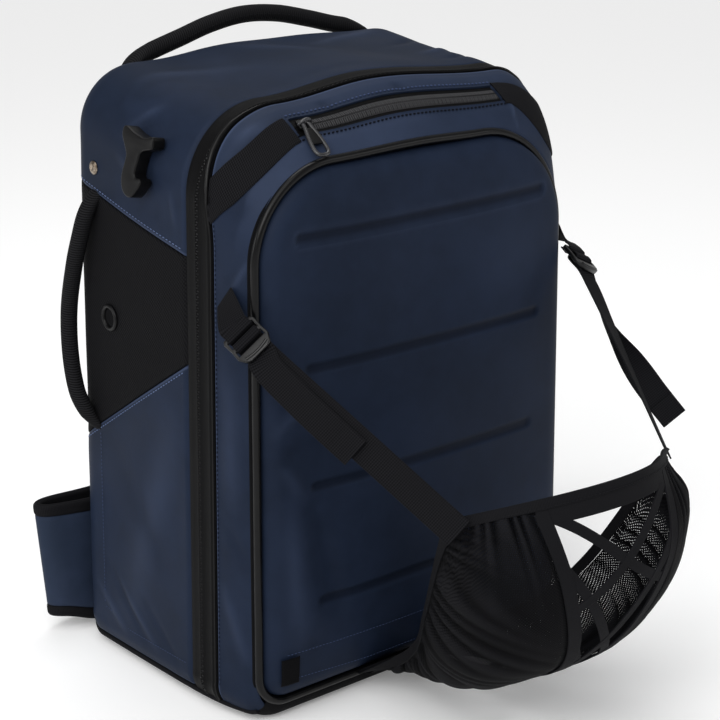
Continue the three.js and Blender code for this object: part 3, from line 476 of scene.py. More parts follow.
def stitches(path: Array, normals: Array, pitch: float, thread: float) -> Shape:
    """Row of stitches on a surface, half sunk in it.

    Args:
        path: Points of the row on the surface.
        normals: Outward direction, or one at each point.
        pitch: Distance from stitch to stitch.
        thread: Thickness of the thread.

    Returns:
        All stitches of the row.
    """
    steps = run_of(path)
    at = np.arange(pitch, steps[-1] - 0.5 * pitch, pitch)
    origins = read(at, steps, path)
    out = unit(read(at, steps, np.broadcast_to(normals, path.shape)))
    tangent = unit(read(at + 0.5, steps, path) - origins)
    side = unit(np.cross(out, tangent))
    return repeated(bead(0.56 * pitch, thread, 0.9 * thread), origins + 0.12 * out, (tangent, side, out))


# Materials

Value = Union[float, Sequence[float], "Sock"]


class Sock:
    """A shader socket that takes part in Python expressions: each operator adds a Math node."""

    def __init__(self, shader: "Shader", socket: bpy.types.NodeSocket) -> None:
        """Wraps an output socket of a shader."""
        self.shader = shader
        self.socket = socket

    def math(self, operation: str, *operands: Value) -> "Sock":
        """A Math node of an operation on operands."""
        return self.shader.node("ShaderNodeMath", {"operation": operation}, dict(enumerate(operands)))

    def __add__(self, other: Value) -> "Sock":
        """Sum."""
        return self.math("ADD", self, other)

    def __sub__(self, other: Value) -> "Sock":
        """Difference."""
        return self.math("SUBTRACT", self, other)

    def __mul__(self, other: Value) -> "Sock":
        """Product."""
        return self.math("MULTIPLY", self, other)

    __radd__ = __add__
    __rmul__ = __mul__

    def sin(self) -> "Sock":
        """Sine."""
        return self.math("SINE", self)

    def size(self) -> "Sock":
        """Size without its sign."""
        return self.math("ABSOLUTE", self)

    def step(self, low: float, high: float) -> "Sock":
        """Smooth step from 0 at low to 1 at high."""
        settings = {"interpolation_type": "SMOOTHSTEP"}
        return self.shader.node("ShaderNodeMapRange", settings, {0: self, 1: low, 2: high})


class Shader:
    """A node material under construction."""

    def __init__(self, name: str) -> None:
        """Starts a material.

        Args:
            name: Material name.
        """
        self.material = bpy.data.materials.new(name)
        self.material.use_nodes = True
        self.tree = self.material.node_tree
        self.surface = self.tree.nodes["Principled BSDF"]

    def node(
        self, kind: str, settings: dict | None = None, sockets: dict | None = None, output: int | str = 0
    ) -> Sock:
        """Adds a node.

        Args:
            kind: Node type.
            settings: Properties, which are set first.
            sockets: Values or links of the inputs, by number or name.
            output: Output to hand back.

        Returns:
            The output socket.
        """
        made = self.tree.nodes.new(kind)
        for key, value in (settings or {}).items():
            setattr(made, key, value)
        for key, value in (sockets or {}).items():
            self.feed(made.inputs[key], value)
        return Sock(self, made.outputs[output])

    def feed(self, socket: bpy.types.NodeSocket, value: Value) -> None:
        """Links or sets an input socket.

        Args:
            socket: The input.
            value: Value, or socket to link.
        """
        if isinstance(value, Sock):
            self.tree.links.new(value.socket, socket)
        else:
            socket.default_value = value

    def flat(self) -> tuple[Sock, Sock]:
        """The flat map's two coordinates in millimetres."""
        parts = self.node("ShaderNodeSeparateXYZ", None, {0: self.node("ShaderNodeTexCoord", output="UV")})
        return parts * 1000.0, Sock(self, parts.socket.node.outputs[1]) * 1000.0

    def noise(self, scale: float, detail: float, rough: float) -> Sock:
        """Noise on Object coordinates, with its scale per metre."""
        sockets = {"Vector": self.node("ShaderNodeTexCoord", output="Object"), "Scale": scale}
        return self.node("ShaderNodeTexNoise", None, {**sockets, "Detail": detail, "Roughness": rough})

    def blend(self, share: Value, a: Value, b: Value) -> Sock:
        """Mix of two colours."""
        return self.node("ShaderNodeMix", {"data_type": "RGBA"}, {0: share, 6: a, 7: b}, 2)

    def bump(self, height: Sock, depth_mm: float, strength: float) -> Sock:
        """Normal of a height from 0 to 1 with a depth in millimetres."""
        sockets = {"Strength": strength, "Distance": depth_mm * MM, "Height": height}
        return self.node("ShaderNodeBump", None, sockets)

    def shaded(self, colour: Sock, deep: Value, painted_highlight: Value) -> Sock:
        """Colour drawn to a painted shade colour or a painted highlight colour by the piece's own shade
        attribute.
        """
        # The shade attribute paints light into the colour: above 0 toward the shade colour, below 0 toward
        # the highlight colour
        shade = self.node("ShaderNodeAttribute", {"attribute_name": "shade"}, None, "Fac")
        return self.blend(shade * -1.0, self.blend(shade, colour, deep), painted_highlight)

    def set(self, sockets: dict[str, Value]) -> None:
        """Values or links of the surface's own sockets."""
        for name, value in sockets.items():
            self.feed(self.surface.inputs[name], value)


def tone(red: int, green: int, blue: int) -> tuple[float, ...]:
    """Screen colour as linear light."""
    parts = np.array([red, green, blue]) / 255.0
    return (*np.where(parts <= 0.04045, parts / 12.92, ((parts + 0.055) / 1.055) ** 2.4).tolist(), 1.0)


@dataclass(frozen=True)
class Finish:
    """A finish of the bag: its name and the record's slot that it belongs to."""

    name: str
    slot: str

    def dress(self, shader: Shader) -> None:
        """Fills the shader; each kind of finish has its own way."""
        raise NotImplementedError

    def material(self) -> bpy.types.Material:
        """The finish's material, made once.

        Returns:
            The material.
        """
        if self.name not in bpy.data.materials:
            self.dress(Shader(self.name))
        return bpy.data.materials[self.name]


@dataclass(frozen=True)
class CoatedCloth(Finish):
    """Cloth with a smooth matt coating over a fine weave."""

    dark: tuple = tone(22, 30, 45)
    light: tuple = tone(29, 38, 56)
    # Painted shade colour and painted highlight colour, which the shade attribute draws the cloth toward
    deep: tuple = tone(6, 10, 20)
    painted_highlight: tuple = tone(92, 106, 138)
    weave: float = 0.7

    def dress(self, shader: Shader) -> None:
        """Mottled colour, fine grain, a weave that only just shows, and painted shade and highlights from the
        piece's shade attribute.

        Args:
            shader: Shader to fill.
        """
        u, v = shader.flat()
        turn = 2 * math.pi / self.weave
        threads = (u * turn).sin() * (v * turn).sin()
        mottle = shader.noise(9.0, 4.0, 0.6)
        grain = shader.noise(2600.0, 1.0, 0.5)
        patch = shader.noise(60.0, 3.0, 0.6)
        colour = shader.blend((mottle * 0.7 + patch * 0.3).step(0.3, 0.7), self.dark, self.light)
        shader.set({
            # Painted light: shade in dents and pressed channels, highlights on rolled edges, crests and the
            # lit strips of the gusset
            "Base Color": shader.shaded(colour, self.deep, self.painted_highlight),
            "Roughness": 0.4 + 0.16 * grain + 0.1 * patch,
            "Normal": shader.bump(0.3 * threads + 0.5 * grain + 0.5, 0.06, 0.5),
            "Specular IOR Level": 0.06,
        })


@dataclass(frozen=True)
class WovenCloth(Finish):
    """Black woven cloth: two sets of threads that cross, with a diagonal step on request."""

    dark: tuple = tone(5, 5, 6)
    light: tuple = tone(26, 26, 28)
    across: float = 1.6
    length: float = 1.6
    rib: float = 0.55
    diagonal: bool = False
    depth: float = 0.25
    rough: float = 0.72

    def dress(self, shader: Shader) -> None:
        """Threads as rounded ridges, lighter on top, with fibres in their roughness.

        Args:
            shader: Shader to fill.
        """
        u, v = shader.flat()
        if self.diagonal:
            u, v = u + v, u - v
        a = (u * (math.pi / self.across)).sin().size()
        b = (v * (math.pi / self.length)).sin().size()
        height = a * (1.0 - self.rib) + b * self.rib
        fibre = shader.noise(1800.0, 2.0, 0.6)
        wear = shader.noise(25.0, 3.0, 0.6)
        colour = shader.blend((height * 0.75 + fibre * 0.25).step(0.25, 0.95), self.dark, self.light)
        shader.set({
            "Base Color": colour,
            "Roughness": self.rough + 0.2 * (fibre - 0.5) + 0.1 * (wear - 0.5),
            "Normal": shader.bump(height * 0.85 + fibre * 0.15, self.depth, 0.8),
            "Specular IOR Level": 0.05,
        })


@dataclass(frozen=True)
class NetKnit(Finish):
    """Open knit: staggered rows of small round holes between rounded yarns."""

    dark: tuple = tone(3, 3, 4)
    light: tuple = tone(19, 19, 21)
    # Painted shade colour for the gathers' valleys and painted highlight colour for their crests
    deep: tuple = tone(1, 1, 1)
    painted_highlight: tuple = tone(35, 35, 38)
    pitch: float = 2.9
    hole: float = 0.12

    def dress(self, shader: Shader) -> None:
        """Yarn height from the product of two crossed waves; the holes are see-through.

        Args:
            shader: Shader to fill.
        """
        u, v = shader.flat()
        turn = 2 * math.pi / self.pitch
        yarn = 0.5 + 0.5 * ((u * turn).sin() * (v * turn).sin())
        fibre = shader.noise(1500.0, 2.0, 0.6)
        colour = shader.blend(yarn.step(0.2, 0.9), self.dark, self.light)
        shader.set({
            # Painted light from the shade attribute: darker valleys and lighter crests of the gathers
            "Base Color": shader.shaded(colour, self.deep, self.painted_highlight),
            "Roughness": 0.7 + 0.2 * (fibre - 0.5),
            "Normal": shader.bump(yarn * 0.8 + fibre * 0.2, 0.3, 0.7),
            "Alpha": yarn.step(self.hole - 0.04, self.hole + 0.04),
            "Specular IOR Level": 0.04,
        })


@dataclass(frozen=True)
class Moulded(Finish):
    """Moulded or extruded black plastic with a fine grain."""

    dark: tuple = tone(6, 6, 7)
    light: tuple = tone(13, 13, 14)
    rough: float = 0.42
    grain_depth: float = 0.04
    coat: float = 0.0
    gloss: float = 0.14

    def dress(self, shader: Shader) -> None:
        """Slightly uneven colour and gloss over a fine leathery grain.

        Args:
            shader: Shader to fill.
        """
        grain = shader.noise(1400.0, 2.0, 0.5)
        cloud = shader.noise(40.0, 3.0, 0.6)
        shader.set({
            "Base Color": shader.blend(cloud.step(0.3, 0.7), self.dark, self.light),
            "Roughness": self.rough + 0.12 * (cloud - 0.5) + 0.12 * (grain - 0.5),
            "Normal": shader.bump(grain, self.grain_depth, 0.4),
            "Specular IOR Level": self.gloss,
            "Coat Weight": self.coat,
            "Coat Roughness": 0.2,
        })


@dataclass(frozen=True)
class RivetMetal(Finish):
    """Brownish plated metal with fine scratches."""

    dark: tuple = tone(96, 84, 72)
    light: tuple = tone(158, 146, 132)

    def dress(self, shader: Shader) -> None:
        """Plated colour with small scratches in its gloss.

        Args:
            shader: Shader to fill.
        """
        cloud = shader.noise(260.0, 3.0, 0.6)
        scratch = shader.noise(3000.0, 2.0, 0.7)
        shader.set({
            "Base Color": shader.blend(cloud.step(0.3, 0.7), self.dark, self.light),
            "Metallic": 1.0,
            "Roughness": 0.26 + 0.2 * scratch,
            "Normal": shader.bump(scratch, 0.02, 0.3),
        })


@dataclass(frozen=True)
class Thread(Finish):
    """Twisted sewing thread."""

    dark: tuple = tone(12, 12, 14)
    light: tuple = tone(30, 30, 33)

    def dress(self, shader: Shader) -> None:
        """Slanted twist across each stitch.

        Args:
            shader: Shader to fill.
        """
        u, v = shader.flat()
        twist = 0.5 + 0.5 * ((u + v) * 8.0).sin()
        fibre = shader.noise(2500.0, 1.0, 0.5)
        shader.set({
            "Base Color": shader.blend(twist, self.dark, self.light),
            "Specular IOR Level": 0.08,
            "Roughness": 0.6 + 0.2 * (fibre - 0.5),
            "Normal": shader.bump(twist, 0.08, 0.6),
        })


class Kit:
    """All finishes of the bag."""

    COATED = CoatedCloth("navy_coating", "coated_cloth")
    # The hip wings' navy coating, painted lighter than the body's to stand in for light that falls on them
    WING_PAINTED_LIGHT = CoatedCloth("wing_coating_painted_light", "coated_cloth", dark=tone(35, 44, 60), light=tone(44, 53, 72))
    SIDE_CLOTH = WovenCloth(
        "side_cloth", "black_cloth", tone(2, 2, 3), tone(25, 25, 27), 3.4, 3.4, diagonal=True, depth=0.5
    )
    PLAIN_CLOTH = WovenCloth("plain_cloth", "black_cloth", light=tone(15, 15, 17), across=1.1, length=1.1)
    WEBBING = WovenCloth(
        "strap_webbing", "black_cloth", light=tone(28, 28, 31), across=1.9, length=1.9, rib=0.6, depth=0.4
    )
    GRIP = WovenCloth(
        "grip_cloth", "black_cloth", light=tone(32, 32, 34), across=1.5, length=2.3, rib=0.85, depth=0.6
    )
    BINDING = WovenCloth(
        "edge_binding", "black_cloth", light=tone(29, 29, 32), across=0.9, length=1.2, depth=0.2
    )
    LATTICE = WovenCloth(
        "lattice_cloth", "net",
        dark=tone(14, 14, 15), light=tone(26, 26, 29), across=0.8, length=0.8, depth=0.1,
    )
    NET = NetKnit("net_knit", "net")
    GLOSS = Moulded(
        "piping_gloss", "gloss_trim", tone(3, 3, 4), tone(7, 7, 8),
        0.34, grain_depth=0.03, coat=0.2, gloss=0.1,
    )
    TAPE = WovenCloth(
        "zip_tape", "gloss_trim", light=tone(16, 16, 17), across=0.9, length=1.6, depth=0.2, rough=0.5
    )
    COIL = WovenCloth(
        "zip_coil", "gloss_trim", tone(14, 14, 15), tone(68, 68, 70), 2.4, 3.0, 0.1, depth=0.5, rough=0.36
    )
    TEETH = Moulded("zip_teeth", "gloss_trim", tone(18, 18, 19), tone(34, 34, 36), rough=0.3, gloss=0.24)
    PLASTIC = Moulded("satin_plastic", "moulded_plastic", rough=0.34, gloss=0.16)
    BUCKLE = Moulded("buckle_plastic", "moulded_plastic", rough=0.3, coat=0.2, gloss=0.25)
    # Plastic of the pull's frame and the slider's bridge: its greyer colour is a painted highlight on the
    # edges, while its coat and gloss are real
    PULL_PAINTED_HIGHLIGHT = Moulded(
        "pull_plastic_painted_highlight", "moulded_plastic", tone(26, 26, 28), tone(40, 40, 43), rough=0.26, coat=0.5, gloss=0.4
    )
    METAL = RivetMetal("plated_metal", "rivet_metal")
    PALE_THREAD = Thread("pale_thread", "coated_cloth", tone(66, 79, 112), tone(104, 118, 150))
    NAVY_THREAD = Thread("navy_thread", "coated_cloth", tone(46, 57, 84), tone(62, 75, 106))
    DARK_THREAD = Thread("dark_thread", "coated_cloth", tone(5, 7, 15), tone(10, 14, 27))
    BLACK_THREAD = Thread("black_thread", "black_cloth")


def shown(name: str, data: bpy.types.ID) -> bpy.types.Object:
    """New object in the scene.

    Args:
        name: Object name.
        data: What it shows.

    Returns:
        The object.
    """
    made = bpy.data.objects.new(name, data)
    bpy.context.scene.collection.objects.link(made)
    return made


def weld(mesh: bpy.types.Mesh, reach: float, sliver: float = 0.0) -> None:
    """Merges points of a mesh and turns its faces outward.

    Args:
        mesh: Mesh in metres.
        reach: Distance within which points are merged.
        sliver: Length of edges that are dissolved, if any are.
    """
    work = bmesh.new()
    work.from_mesh(mesh)
    bmesh.ops.remove_doubles(work, verts=work.verts, dist=reach)
    if sliver:
        bmesh.ops.dissolve_degenerate(work, edges=work.edges, dist=sliver)
    bmesh.ops.recalc_face_normals(work, faces=work.faces)
    work.to_mesh(mesh)
    work.free()


def piece(name: str, shape: Shape, finish: Finish, solid: bool = True) -> bpy.types.Object:
    """Writes a shape as a piece of the bag.

    Args:
        name: Piece name.
        shape: Shape in millimetres.
        finish: Finish of the piece.
        solid: Whether the piece stands for the solid of its name.

    Returns:
        The object, which rides on the bag.
    """
    mesh = bpy.data.meshes.new(name)
    corners = shape.quads.astype(np.int32).ravel()
    mesh.vertices.add(len(shape.verts))
    mesh.vertices.foreach_set("co", (shape.verts * MM).astype(np.float32).ravel())
    mesh.loops.add(len(corners))
    mesh.loops.foreach_set("vertex_index", corners)
    mesh.polygons.add(len(shape.quads))
    mesh.polygons.foreach_set("loop_start", np.arange(0, len(corners), 4, dtype=np.int32))
    layer = mesh.uv_layers.new(name="flat")
    layer.data.foreach_set("uv", (shape.flat[corners] * MM).astype(np.float32).ravel())
    if shape.shade is not None:
        layer = mesh.attributes.new("shade", "FLOAT", "POINT")
        layer.data.foreach_set("value", shape.shade.astype(np.float32))
    mesh.update(calc_edges=True)
    if shape.weld:
        weld(mesh, 2e-6, 1e-7)
    return placed(name, mesh, finish, solid)


def trim(name: str, shape: Shape, finish: Finish) -> None:
    """Writes a shape as a small piece that stands for no solid."""
    piece(name, shape, finish, solid=False)


def placed(name: str, mesh: bpy.types.Mesh, finish: Finish, solid: bool = True) -> bpy.types.Object:
    """Adds a finished mesh to the bag.

    Args:
        name: Piece name.
        mesh: Mesh in metres, in its place.
        finish: Finish of the piece.
        solid: Whether the piece stands for the solid of its name.

    Returns:
        The object, which rides on the bag.
    """
    mesh.validate()
    mesh.polygons.foreach_set("use_smooth", np.ones(len(mesh.polygons), dtype=bool))
    mesh.set_sharp_from_angle(angle=math.radians(50))
    mesh.materials.clear()
    mesh.materials.append(finish.material())
    made = shown(f"{name}_dressed" if solid else name, mesh)
    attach(made, "root")
    if solid:
        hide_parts(name)
    LOG.info("%s: %d faces", name, len(mesh.polygons))
    return made


def plate(outline: Table, holes: Sequence[Table], thick: float, bevel: float, place: Place) -> bpy.types.Mesh:
    """Flat plate with rounded edges from an outline and its holes.

    Args:
        outline: Closed outline in local millimetres.
        holes: Closed outlines of the holes.
        thick: Plate thickness, with its back on the local plane.
        bevel: Radius of the edges.
        place: Where the plate lies.

    Returns:
        The plate's mesh in metres, in its place.
    """
    curve = bpy.data.curves.new("plate", "CURVE")
    curve.dimensions = "2D"
    curve.fill_mode = "BOTH"
    curve.extrude = (0.5 * thick - bevel) * MM
    curve.bevel_depth = bevel * MM
    curve.bevel_resolution = 3
    curve.offset = -bevel * MM
    for loop in [outline, *holes]:
        spline = curve.splines.new("POLY")
        spline.points.add(len(loop) - 1)
        points = np.column_stack([np.asarray(loop) * MM, np.zeros(len(loop)), np.ones(len(loop))])
        spline.points.foreach_set("co", points.astype(np.float32).ravel())
        spline.use_cyclic_u = True
    holder = shown("plate", curve)
    bpy.context.view_layer.update()
    mesh = bpy.data.meshes.new_from_object(holder.evaluated_get(bpy.context.evaluated_depsgraph_get()))
    bpy.data.objects.remove(holder)
    bpy.data.curves.remove(curve)
    weld(mesh, 1e-6)
    mesh.transform(place.matrix() @ Matrix.Translation((0, 0, 0.5 * thick * MM)))
    return mesh


# The bag's form


@dataclass(frozen=True)
class Section:
    """Upright section of the bag at a depth, as arrays of one shape."""

    half: Array
    low: Array
    shoulder: Array
    crown: Array
    corner: Array
    bottom: Array
    low_corner: Array

    @property
    def arc_z(self) -> Array:
        """Height where the top corner starts."""
        return self.shoulder - self.corner

    def half_at(self, z: Array) -> Array:
        """Half width at a height: a straight side between the arcs of the top and low corners.

        Args:
            z: Heights.

        Returns:
            Half widths.
        """
        share = np.clip((z - self.bottom) / (self.arc_z - self.bottom), 0.0, 1.0)
        side = self.low + (self.half - self.low) * share
        rise = np.clip(z - self.arc_z, 0.0, self.corner)
        fall = np.clip(self.bottom + self.low_corner - z, 0.0, self.low_corner)
        top = self.half - self.corner + np.sqrt(self.corner**2 - rise**2)
        low = side - self.low_corner + np.sqrt(self.low_corner**2 - fall**2)
        return np.where(z > self.arc_z, top, np.where(fall > 0, low, side))

    def top_at(self, x: Array) -> Array:
        """Height of the top at a distance from the middle: a cosine crown between two corner arcs.

        Args:
            x: Distances from the middle.

        Returns:
            Heights.
        """
        flat = self.half - self.corner
        beyond = np.clip(np.abs(x) - flat, 0.0, self.corner)
        crown = self.shoulder + self.crown * (0.5 + 0.5 * np.cos(np.pi * x / flat))
        return np.where(beyond > 0, self.arc_z + np.sqrt(self.corner**2 - beyond**2), crown)


@dataclass(frozen=True)
class BagForm:
    """Outer form of the bag: sections along the depth, seams and roundings."""

    # Depth, half width low down, top height, then half width at the top, crown and corner radius: left, right
    sections: Table = (
        (-127, 174, 484.5, 171.5, 2, 79, 168, 2, 95),
        (-104, 182, 507, 177, 5, 86, 176, 5, 58),
        (-82, 187, 523, 180.5, 8, 80, 180.5, 8, 46),
        (-49, 190, 534, 183, 10, 73, 183, 9, 46),
        (20, 191.5, 538, 185.5, 8.5, 64, 185.5, 7.5, 50),
        (97, 192, 541.5, 183, 6, 56, 183, 4, 41),
    )
    front: float = -127.0
    back: float = 127.0
    back_round: float = 30.0
    front_round: float = 18.0
    low_round: float = 28.0
    base_angle: float = math.radians(50)
    zip_back: float = -49.0
    zip_front: float = -82.0

    def section(self, y: Array, right: Array, lift: Array = 0.0) -> Section:
        """Section at depths on either side, grown outward by a lift.

        Args:
            y: Depths.
            right: Whether each place is on the right side.
            lift: Growth of the outline.

        Returns:
            The section's sizes as arrays.
        """
        y, right, lift = np.broadcast_arrays(np.asarray(y, float), right, lift)
        row = hermite(self.sections, y)
        low, top = row[..., 1], row[..., 2]
        half, crown, corner = np.moveaxis(np.where(right[..., None], row[..., 6:], row[..., 3:6]), -1, 0)
        behind = np.clip(y - (self.back - self.back_round), 0.0, self.back_round)
        ahead = np.clip(self.front + self.front_round - y, 0.0, self.front_round)
        inset = self.back_round - np.sqrt(self.back_round**2 - behind**2) - lift
        rise = self.front_round - np.sqrt(self.front_round**2 - ahead**2)
        corner = np.maximum(corner - inset, 6.0)
        low_corner = np.maximum(self.low_round - inset, 6.0)
        spring = top - crown - inset
        return Section(half - inset, low - inset, spring, crown, corner, inset + rise, low_corner)

    def lengths(self, s: Section) -> tuple[Array, Array, Array, Array]:
        """Lengths of half an outline: flat top, top corner, side and low corner down to the base seam."""
        low = s.low_corner * (np.pi / 2 - self.base_angle)
        return s.half - s.corner, np.pi / 2 * s.corner, s.arc_z - s.bottom - s.low_corner, low

    def share_of(self, s: Section, z: Array) -> Array:
        """Share of half an outline from the top's middle down to a height on the side."""
        top, corner, side, low = self.lengths(s)
        return (top + corner + s.arc_z - z) / (top + corner + side + low)

    def arch(self, y: Array, t: Array, lift: Array = 0.0) -> Array:
        """Points of the arch over the bag.

        Args:
            y: Depths.
            t: Share of the outline from the top's middle, -1 at the left base seam and 1 at the right one.
            lift: Growth of the outline.

        Returns:
            Points on the outlines, by length along each.
        """
        y, t, lift = np.broadcast_arrays(np.asarray(y, float), t, lift)
        s = self.section(y, t > 0, lift)
        top, corner, side, low = self.lengths(s)
        run = np.abs(t) * (top + corner + side + low)
        turn = np.clip((run - top) / s.corner, 0.0, np.pi / 2)
        down = s.arc_z - (run - top - corner)
        under = np.pi / 2 - np.clip((run - top - corner - side) / s.low_corner, 0.0, np.pi / 2)
        zone = [run < top, run < top + corner, run < top + corner + side]
        x = np.select(
            zone,
            [run, s.half - s.corner + s.corner * np.sin(turn), s.half_at(down)],
            s.low - s.low_corner + s.low_corner * np.sin(under),
        )
        z = np.select(
            zone,
            [s.top_at(run), s.arc_z + s.corner * np.cos(turn), down],
            s.bottom + s.low_corner * (1 - np.cos(under)),
        )
        return xyz(np.where(t > 0, x, -x), y, z)

    def depths(self, steps: int, turns: int) -> Array:
        """Depths of the rear shell from the main zip to the back, even on the round.

        Args:
            steps: Number of steps on the straight part.
            turns: Number of steps on the round.

        Returns:
            The depths.
        """
        straight = self.back - self.back_round
        rows = np.linspace(self.zip_back + 0.3, straight, steps + 1)[:-1]
        turn = np.linspace(0.0, np.pi / 2, turns + 1)
        return np.concatenate([rows, straight + self.back_round * np.sin(turn)])

    def on_side(self, side: Side, y: Array, z: Array, lift: float = 0.0) -> tuple[Array, Array]:
        """Points and outward normals on a side of the rear shell.

        Args:
            side: Side of the bag.
            y: Depths.
            z: Heights.
            lift: Distance outward from the side.

        Returns:
            Points and normals.
        """

        def at(dy: float, dz: float) -> Array:
            """Point near the place."""
            yy, zz = np.broadcast_arrays(np.asarray(y, float) + dy, np.asarray(z, float) + dz)
            return xyz(side.value * self.section(yy, side is Side.RIGHT).half_at(zz), yy, zz)

        normal = unit(np.cross(at(0.5, 0) - at(-0.5, 0), at(0, 0.5) - at(0, -0.5)))
        normal = normal * np.where(normal[..., :1] * side.value < 0, -1.0, 1.0)
        return at(0, 0) + lift * normal, normal

    def on_top(self, x: Array, y: Array, lift: float = 0.0) -> tuple[Array, Array]:
        """Points and outward normals on the top of the bag.

        Args:
            x: Distances from the middle.
            y: Depths.
            lift: Distance outward from the top.

        Returns:
            Points and normals.
        """

        def at(dx: float, dy: float) -> Array:
            """Point near the place."""
            xx, yy = np.broadcast_arrays(np.asarray(x, float) + dx, np.asarray(y, float) + dy)
            return xyz(xx, yy, self.section(yy, xx > 0).top_at(xx))

        normal = unit(np.cross(at(0.5, 0) - at(-0.5, 0), at(0, 0.5) - at(0, -0.5)))
        return at(0, 0) + lift * normal, normal

    def side_place(self, side: Side, y: float, z: float, lift: float = 0.0) -> Place:
        """Local frame on a side: across is depth, up is up and out follows the normal.

        Args:
            side: Side of the bag.
            y: Depth.
            z: Height.
            lift: Distance outward.

        Returns:
            The frame.
        """
        point, out = self.on_side(side, y, z, lift)
        up = toward(unit(np.cross(out, square_to(BEHIND, out))), UP)
        return Place(point, np.cross(up, out), up, out)


FORM = BagForm()


@dataclass(frozen=True)
class RearShell:
    """Crown, side panels, lower panels, base and back of the bag."""

    cloth: float = 2.0
    edge: float = 3.0
    upper_seam: Pair = (411.6, 0.223)
    lower_seam: Pair = (277.6, -0.66)
    stitch_inset: float = 5.0
    # Pitch and thread of the stitches beside the seams and along the hems
    seam_stitch: Pair = (4.4, 1.0)
    hem_stitch: Pair = (3.6, 0.6)
    cord: Pair = (2.6, 2.6)
    # Bulge and thickness of the back panel
    pad: Pair = (5.0, 6.0)
    lap: float = 3.5
    hem_y: float = 84.0
    # Share of the base tray's half width where its edge turns up
    tray_bend: float = 0.8
    # Distance from the middle and depth of the back panel's upright channels
    back_channels: Table = ((24.0, 2.6), (118.0, 2.2))
    # Creases of the crown, the sides and the lower panels: two ends, half width, height
    creases: Table = (
        (-172, -34, 510, -182, 2, 490, 3.2, 1.8), (-166, -28, 516, -180, 24, 494, 3.2, -1.7),
        (-160, 2, 522, -181, 40, 488, 3.4, 1.5), (-183, 14, 455, -182, 44, 470, 4, 1.6),
        (-183, -30, 450, -184, -36, 425, 3.2, 1.5), (-184, -20, 436, -184, 4, 418, 3.2, -1.4),
        (-150, 60, 532, -60, 20, 541, 8, 1.5), (-120, -40, 531, 10, -30, 545, 11, -2.2),
        (-30, 84, 546, 40, 30, 548, 8, 2.0), (40, 60, 545, 130, 90, 540, 6, 3.0),
        (70, 20, 545, 150, 50, 532, 5, -2.6), (90, -10, 540, 158, 10, 528, 4.5, 2.6),
        (104, -30, 536, 160, -18, 522, 4, -2.0), (-183, -30, 250, -187, 40, 60, 18, 1.4),
        (-186, 60, 200, -189, -20, 110, 14, -1.0), (-189, 95, 64, -190, 48, 30, 4, 1.5),
        (-189, 80, 92, -190, 20, 34, 4, -1.4), (-189, 60, 80, -190, 0, 28, 3.5, 1.3),
        (-189, 20, 72, -190, -30, 26, 4, -1.1),
    )

    def seam(self, line: Pair, y: Array) -> Array:
        """Height of a straight seam at depths."""
        return line[0] + line[1] * y

    def finish_panel(
        self, grid: Array, radius: float, seed: int, uneven: float, facing: Array
    ) -> tuple[Array, Array]:
        """Turns a panel's edges in and gives it soft unevenness and its creases.

        Args:
            grid: Panel points.
            radius: Radius of the turned edges.
            seed: Seed of the unevenness.
            uneven: Height of the unevenness.
            facing: Direction that the panel faces.

        Returns:
            The finished points and their shade: painted highlights on the rolled edges and on crests, painted
                shade in dents.
        """
        normals = normals_of(grid)
        if np.sum(normals * facing) < 0:
            normals = -normals
        gap = edge_gap(flat_map(grid))
        inner = smooth(0.0, 25.0, gap)
        pucker = 0.35 * np.sin(gap / 3.0) * np.exp(-gap / 7.0) * ripple(grid, 16.0, seed + 1)
        crease = folds(grid, self.creases) * inner
        rise = uneven * ripple(grid, 70.0, seed) * inner + crease + pucker
        # Painted light: crests of the creases lighter, dents darker, and a painted highlight line along the
        # rolled edges
        shade = -0.07 * crease - 0.3 * bell(gap - 1.8, 1.0)
        return grid + normals * (rise - hem(gap, radius))[..., None], shade

    def crown(self) -> None:
        """Crown panel: the arch above the upper seams, from the main zip to the back."""
        y = FORM.depths(46, 16)[:, None]
        w = mirrored(spread(70, 0.03, 6))[None]
        y = y - self.lap * smooth(-30.0, FORM.zip_back, y) * smooth(0.75, 0.35, np.abs(w))
        s = FORM.section(y, w > 0)
        share = FORM.share_of(s, self.seam(self.upper_seam, y))
        grid = FORM.arch(y, w * share)
        up = grid - np.array([0.0, 40.0, 300.0])
        grid, shade = self.finish_panel(grid, self.edge, 3, 1.1, up)
        piece("crown_panel", wall(grid, self.cloth, up, shade), Kit.COATED)

    def sides(self) -> None:
        """Black side panels between the two slanted seams, and navy lower panels down to the base seam."""
        y = FORM.depths(40, 14)[:, None]
        for side in Side:
            s = FORM.section(y, side is Side.RIGHT)
            out = np.array([side.value, 0.0, 0.0])
            high = FORM.share_of(s, self.seam(self.upper_seam, y))
            low = FORM.share_of(s, self.seam(self.lower_seam, y))
            f = spread(60, 0.05, 6)[None]
            grid = FORM.arch(y, side.value * (high + (low - high) * f))
            panel = wall(self.finish_panel(grid, 2.0, 11, 0.5, out)[0], self.cloth, out)
            piece(side.of("side_panel"), panel, Kit.SIDE_CLOTH)
            grid = FORM.arch(y, side.value * (low + (0.996 - low) * f))
            grid, shade = self.finish_panel(grid, self.edge, 21, 1.2, out)
            panel = wall(grid, self.cloth, out, shade)
            piece(side.of("lower_panel"), panel, Kit.COATED)

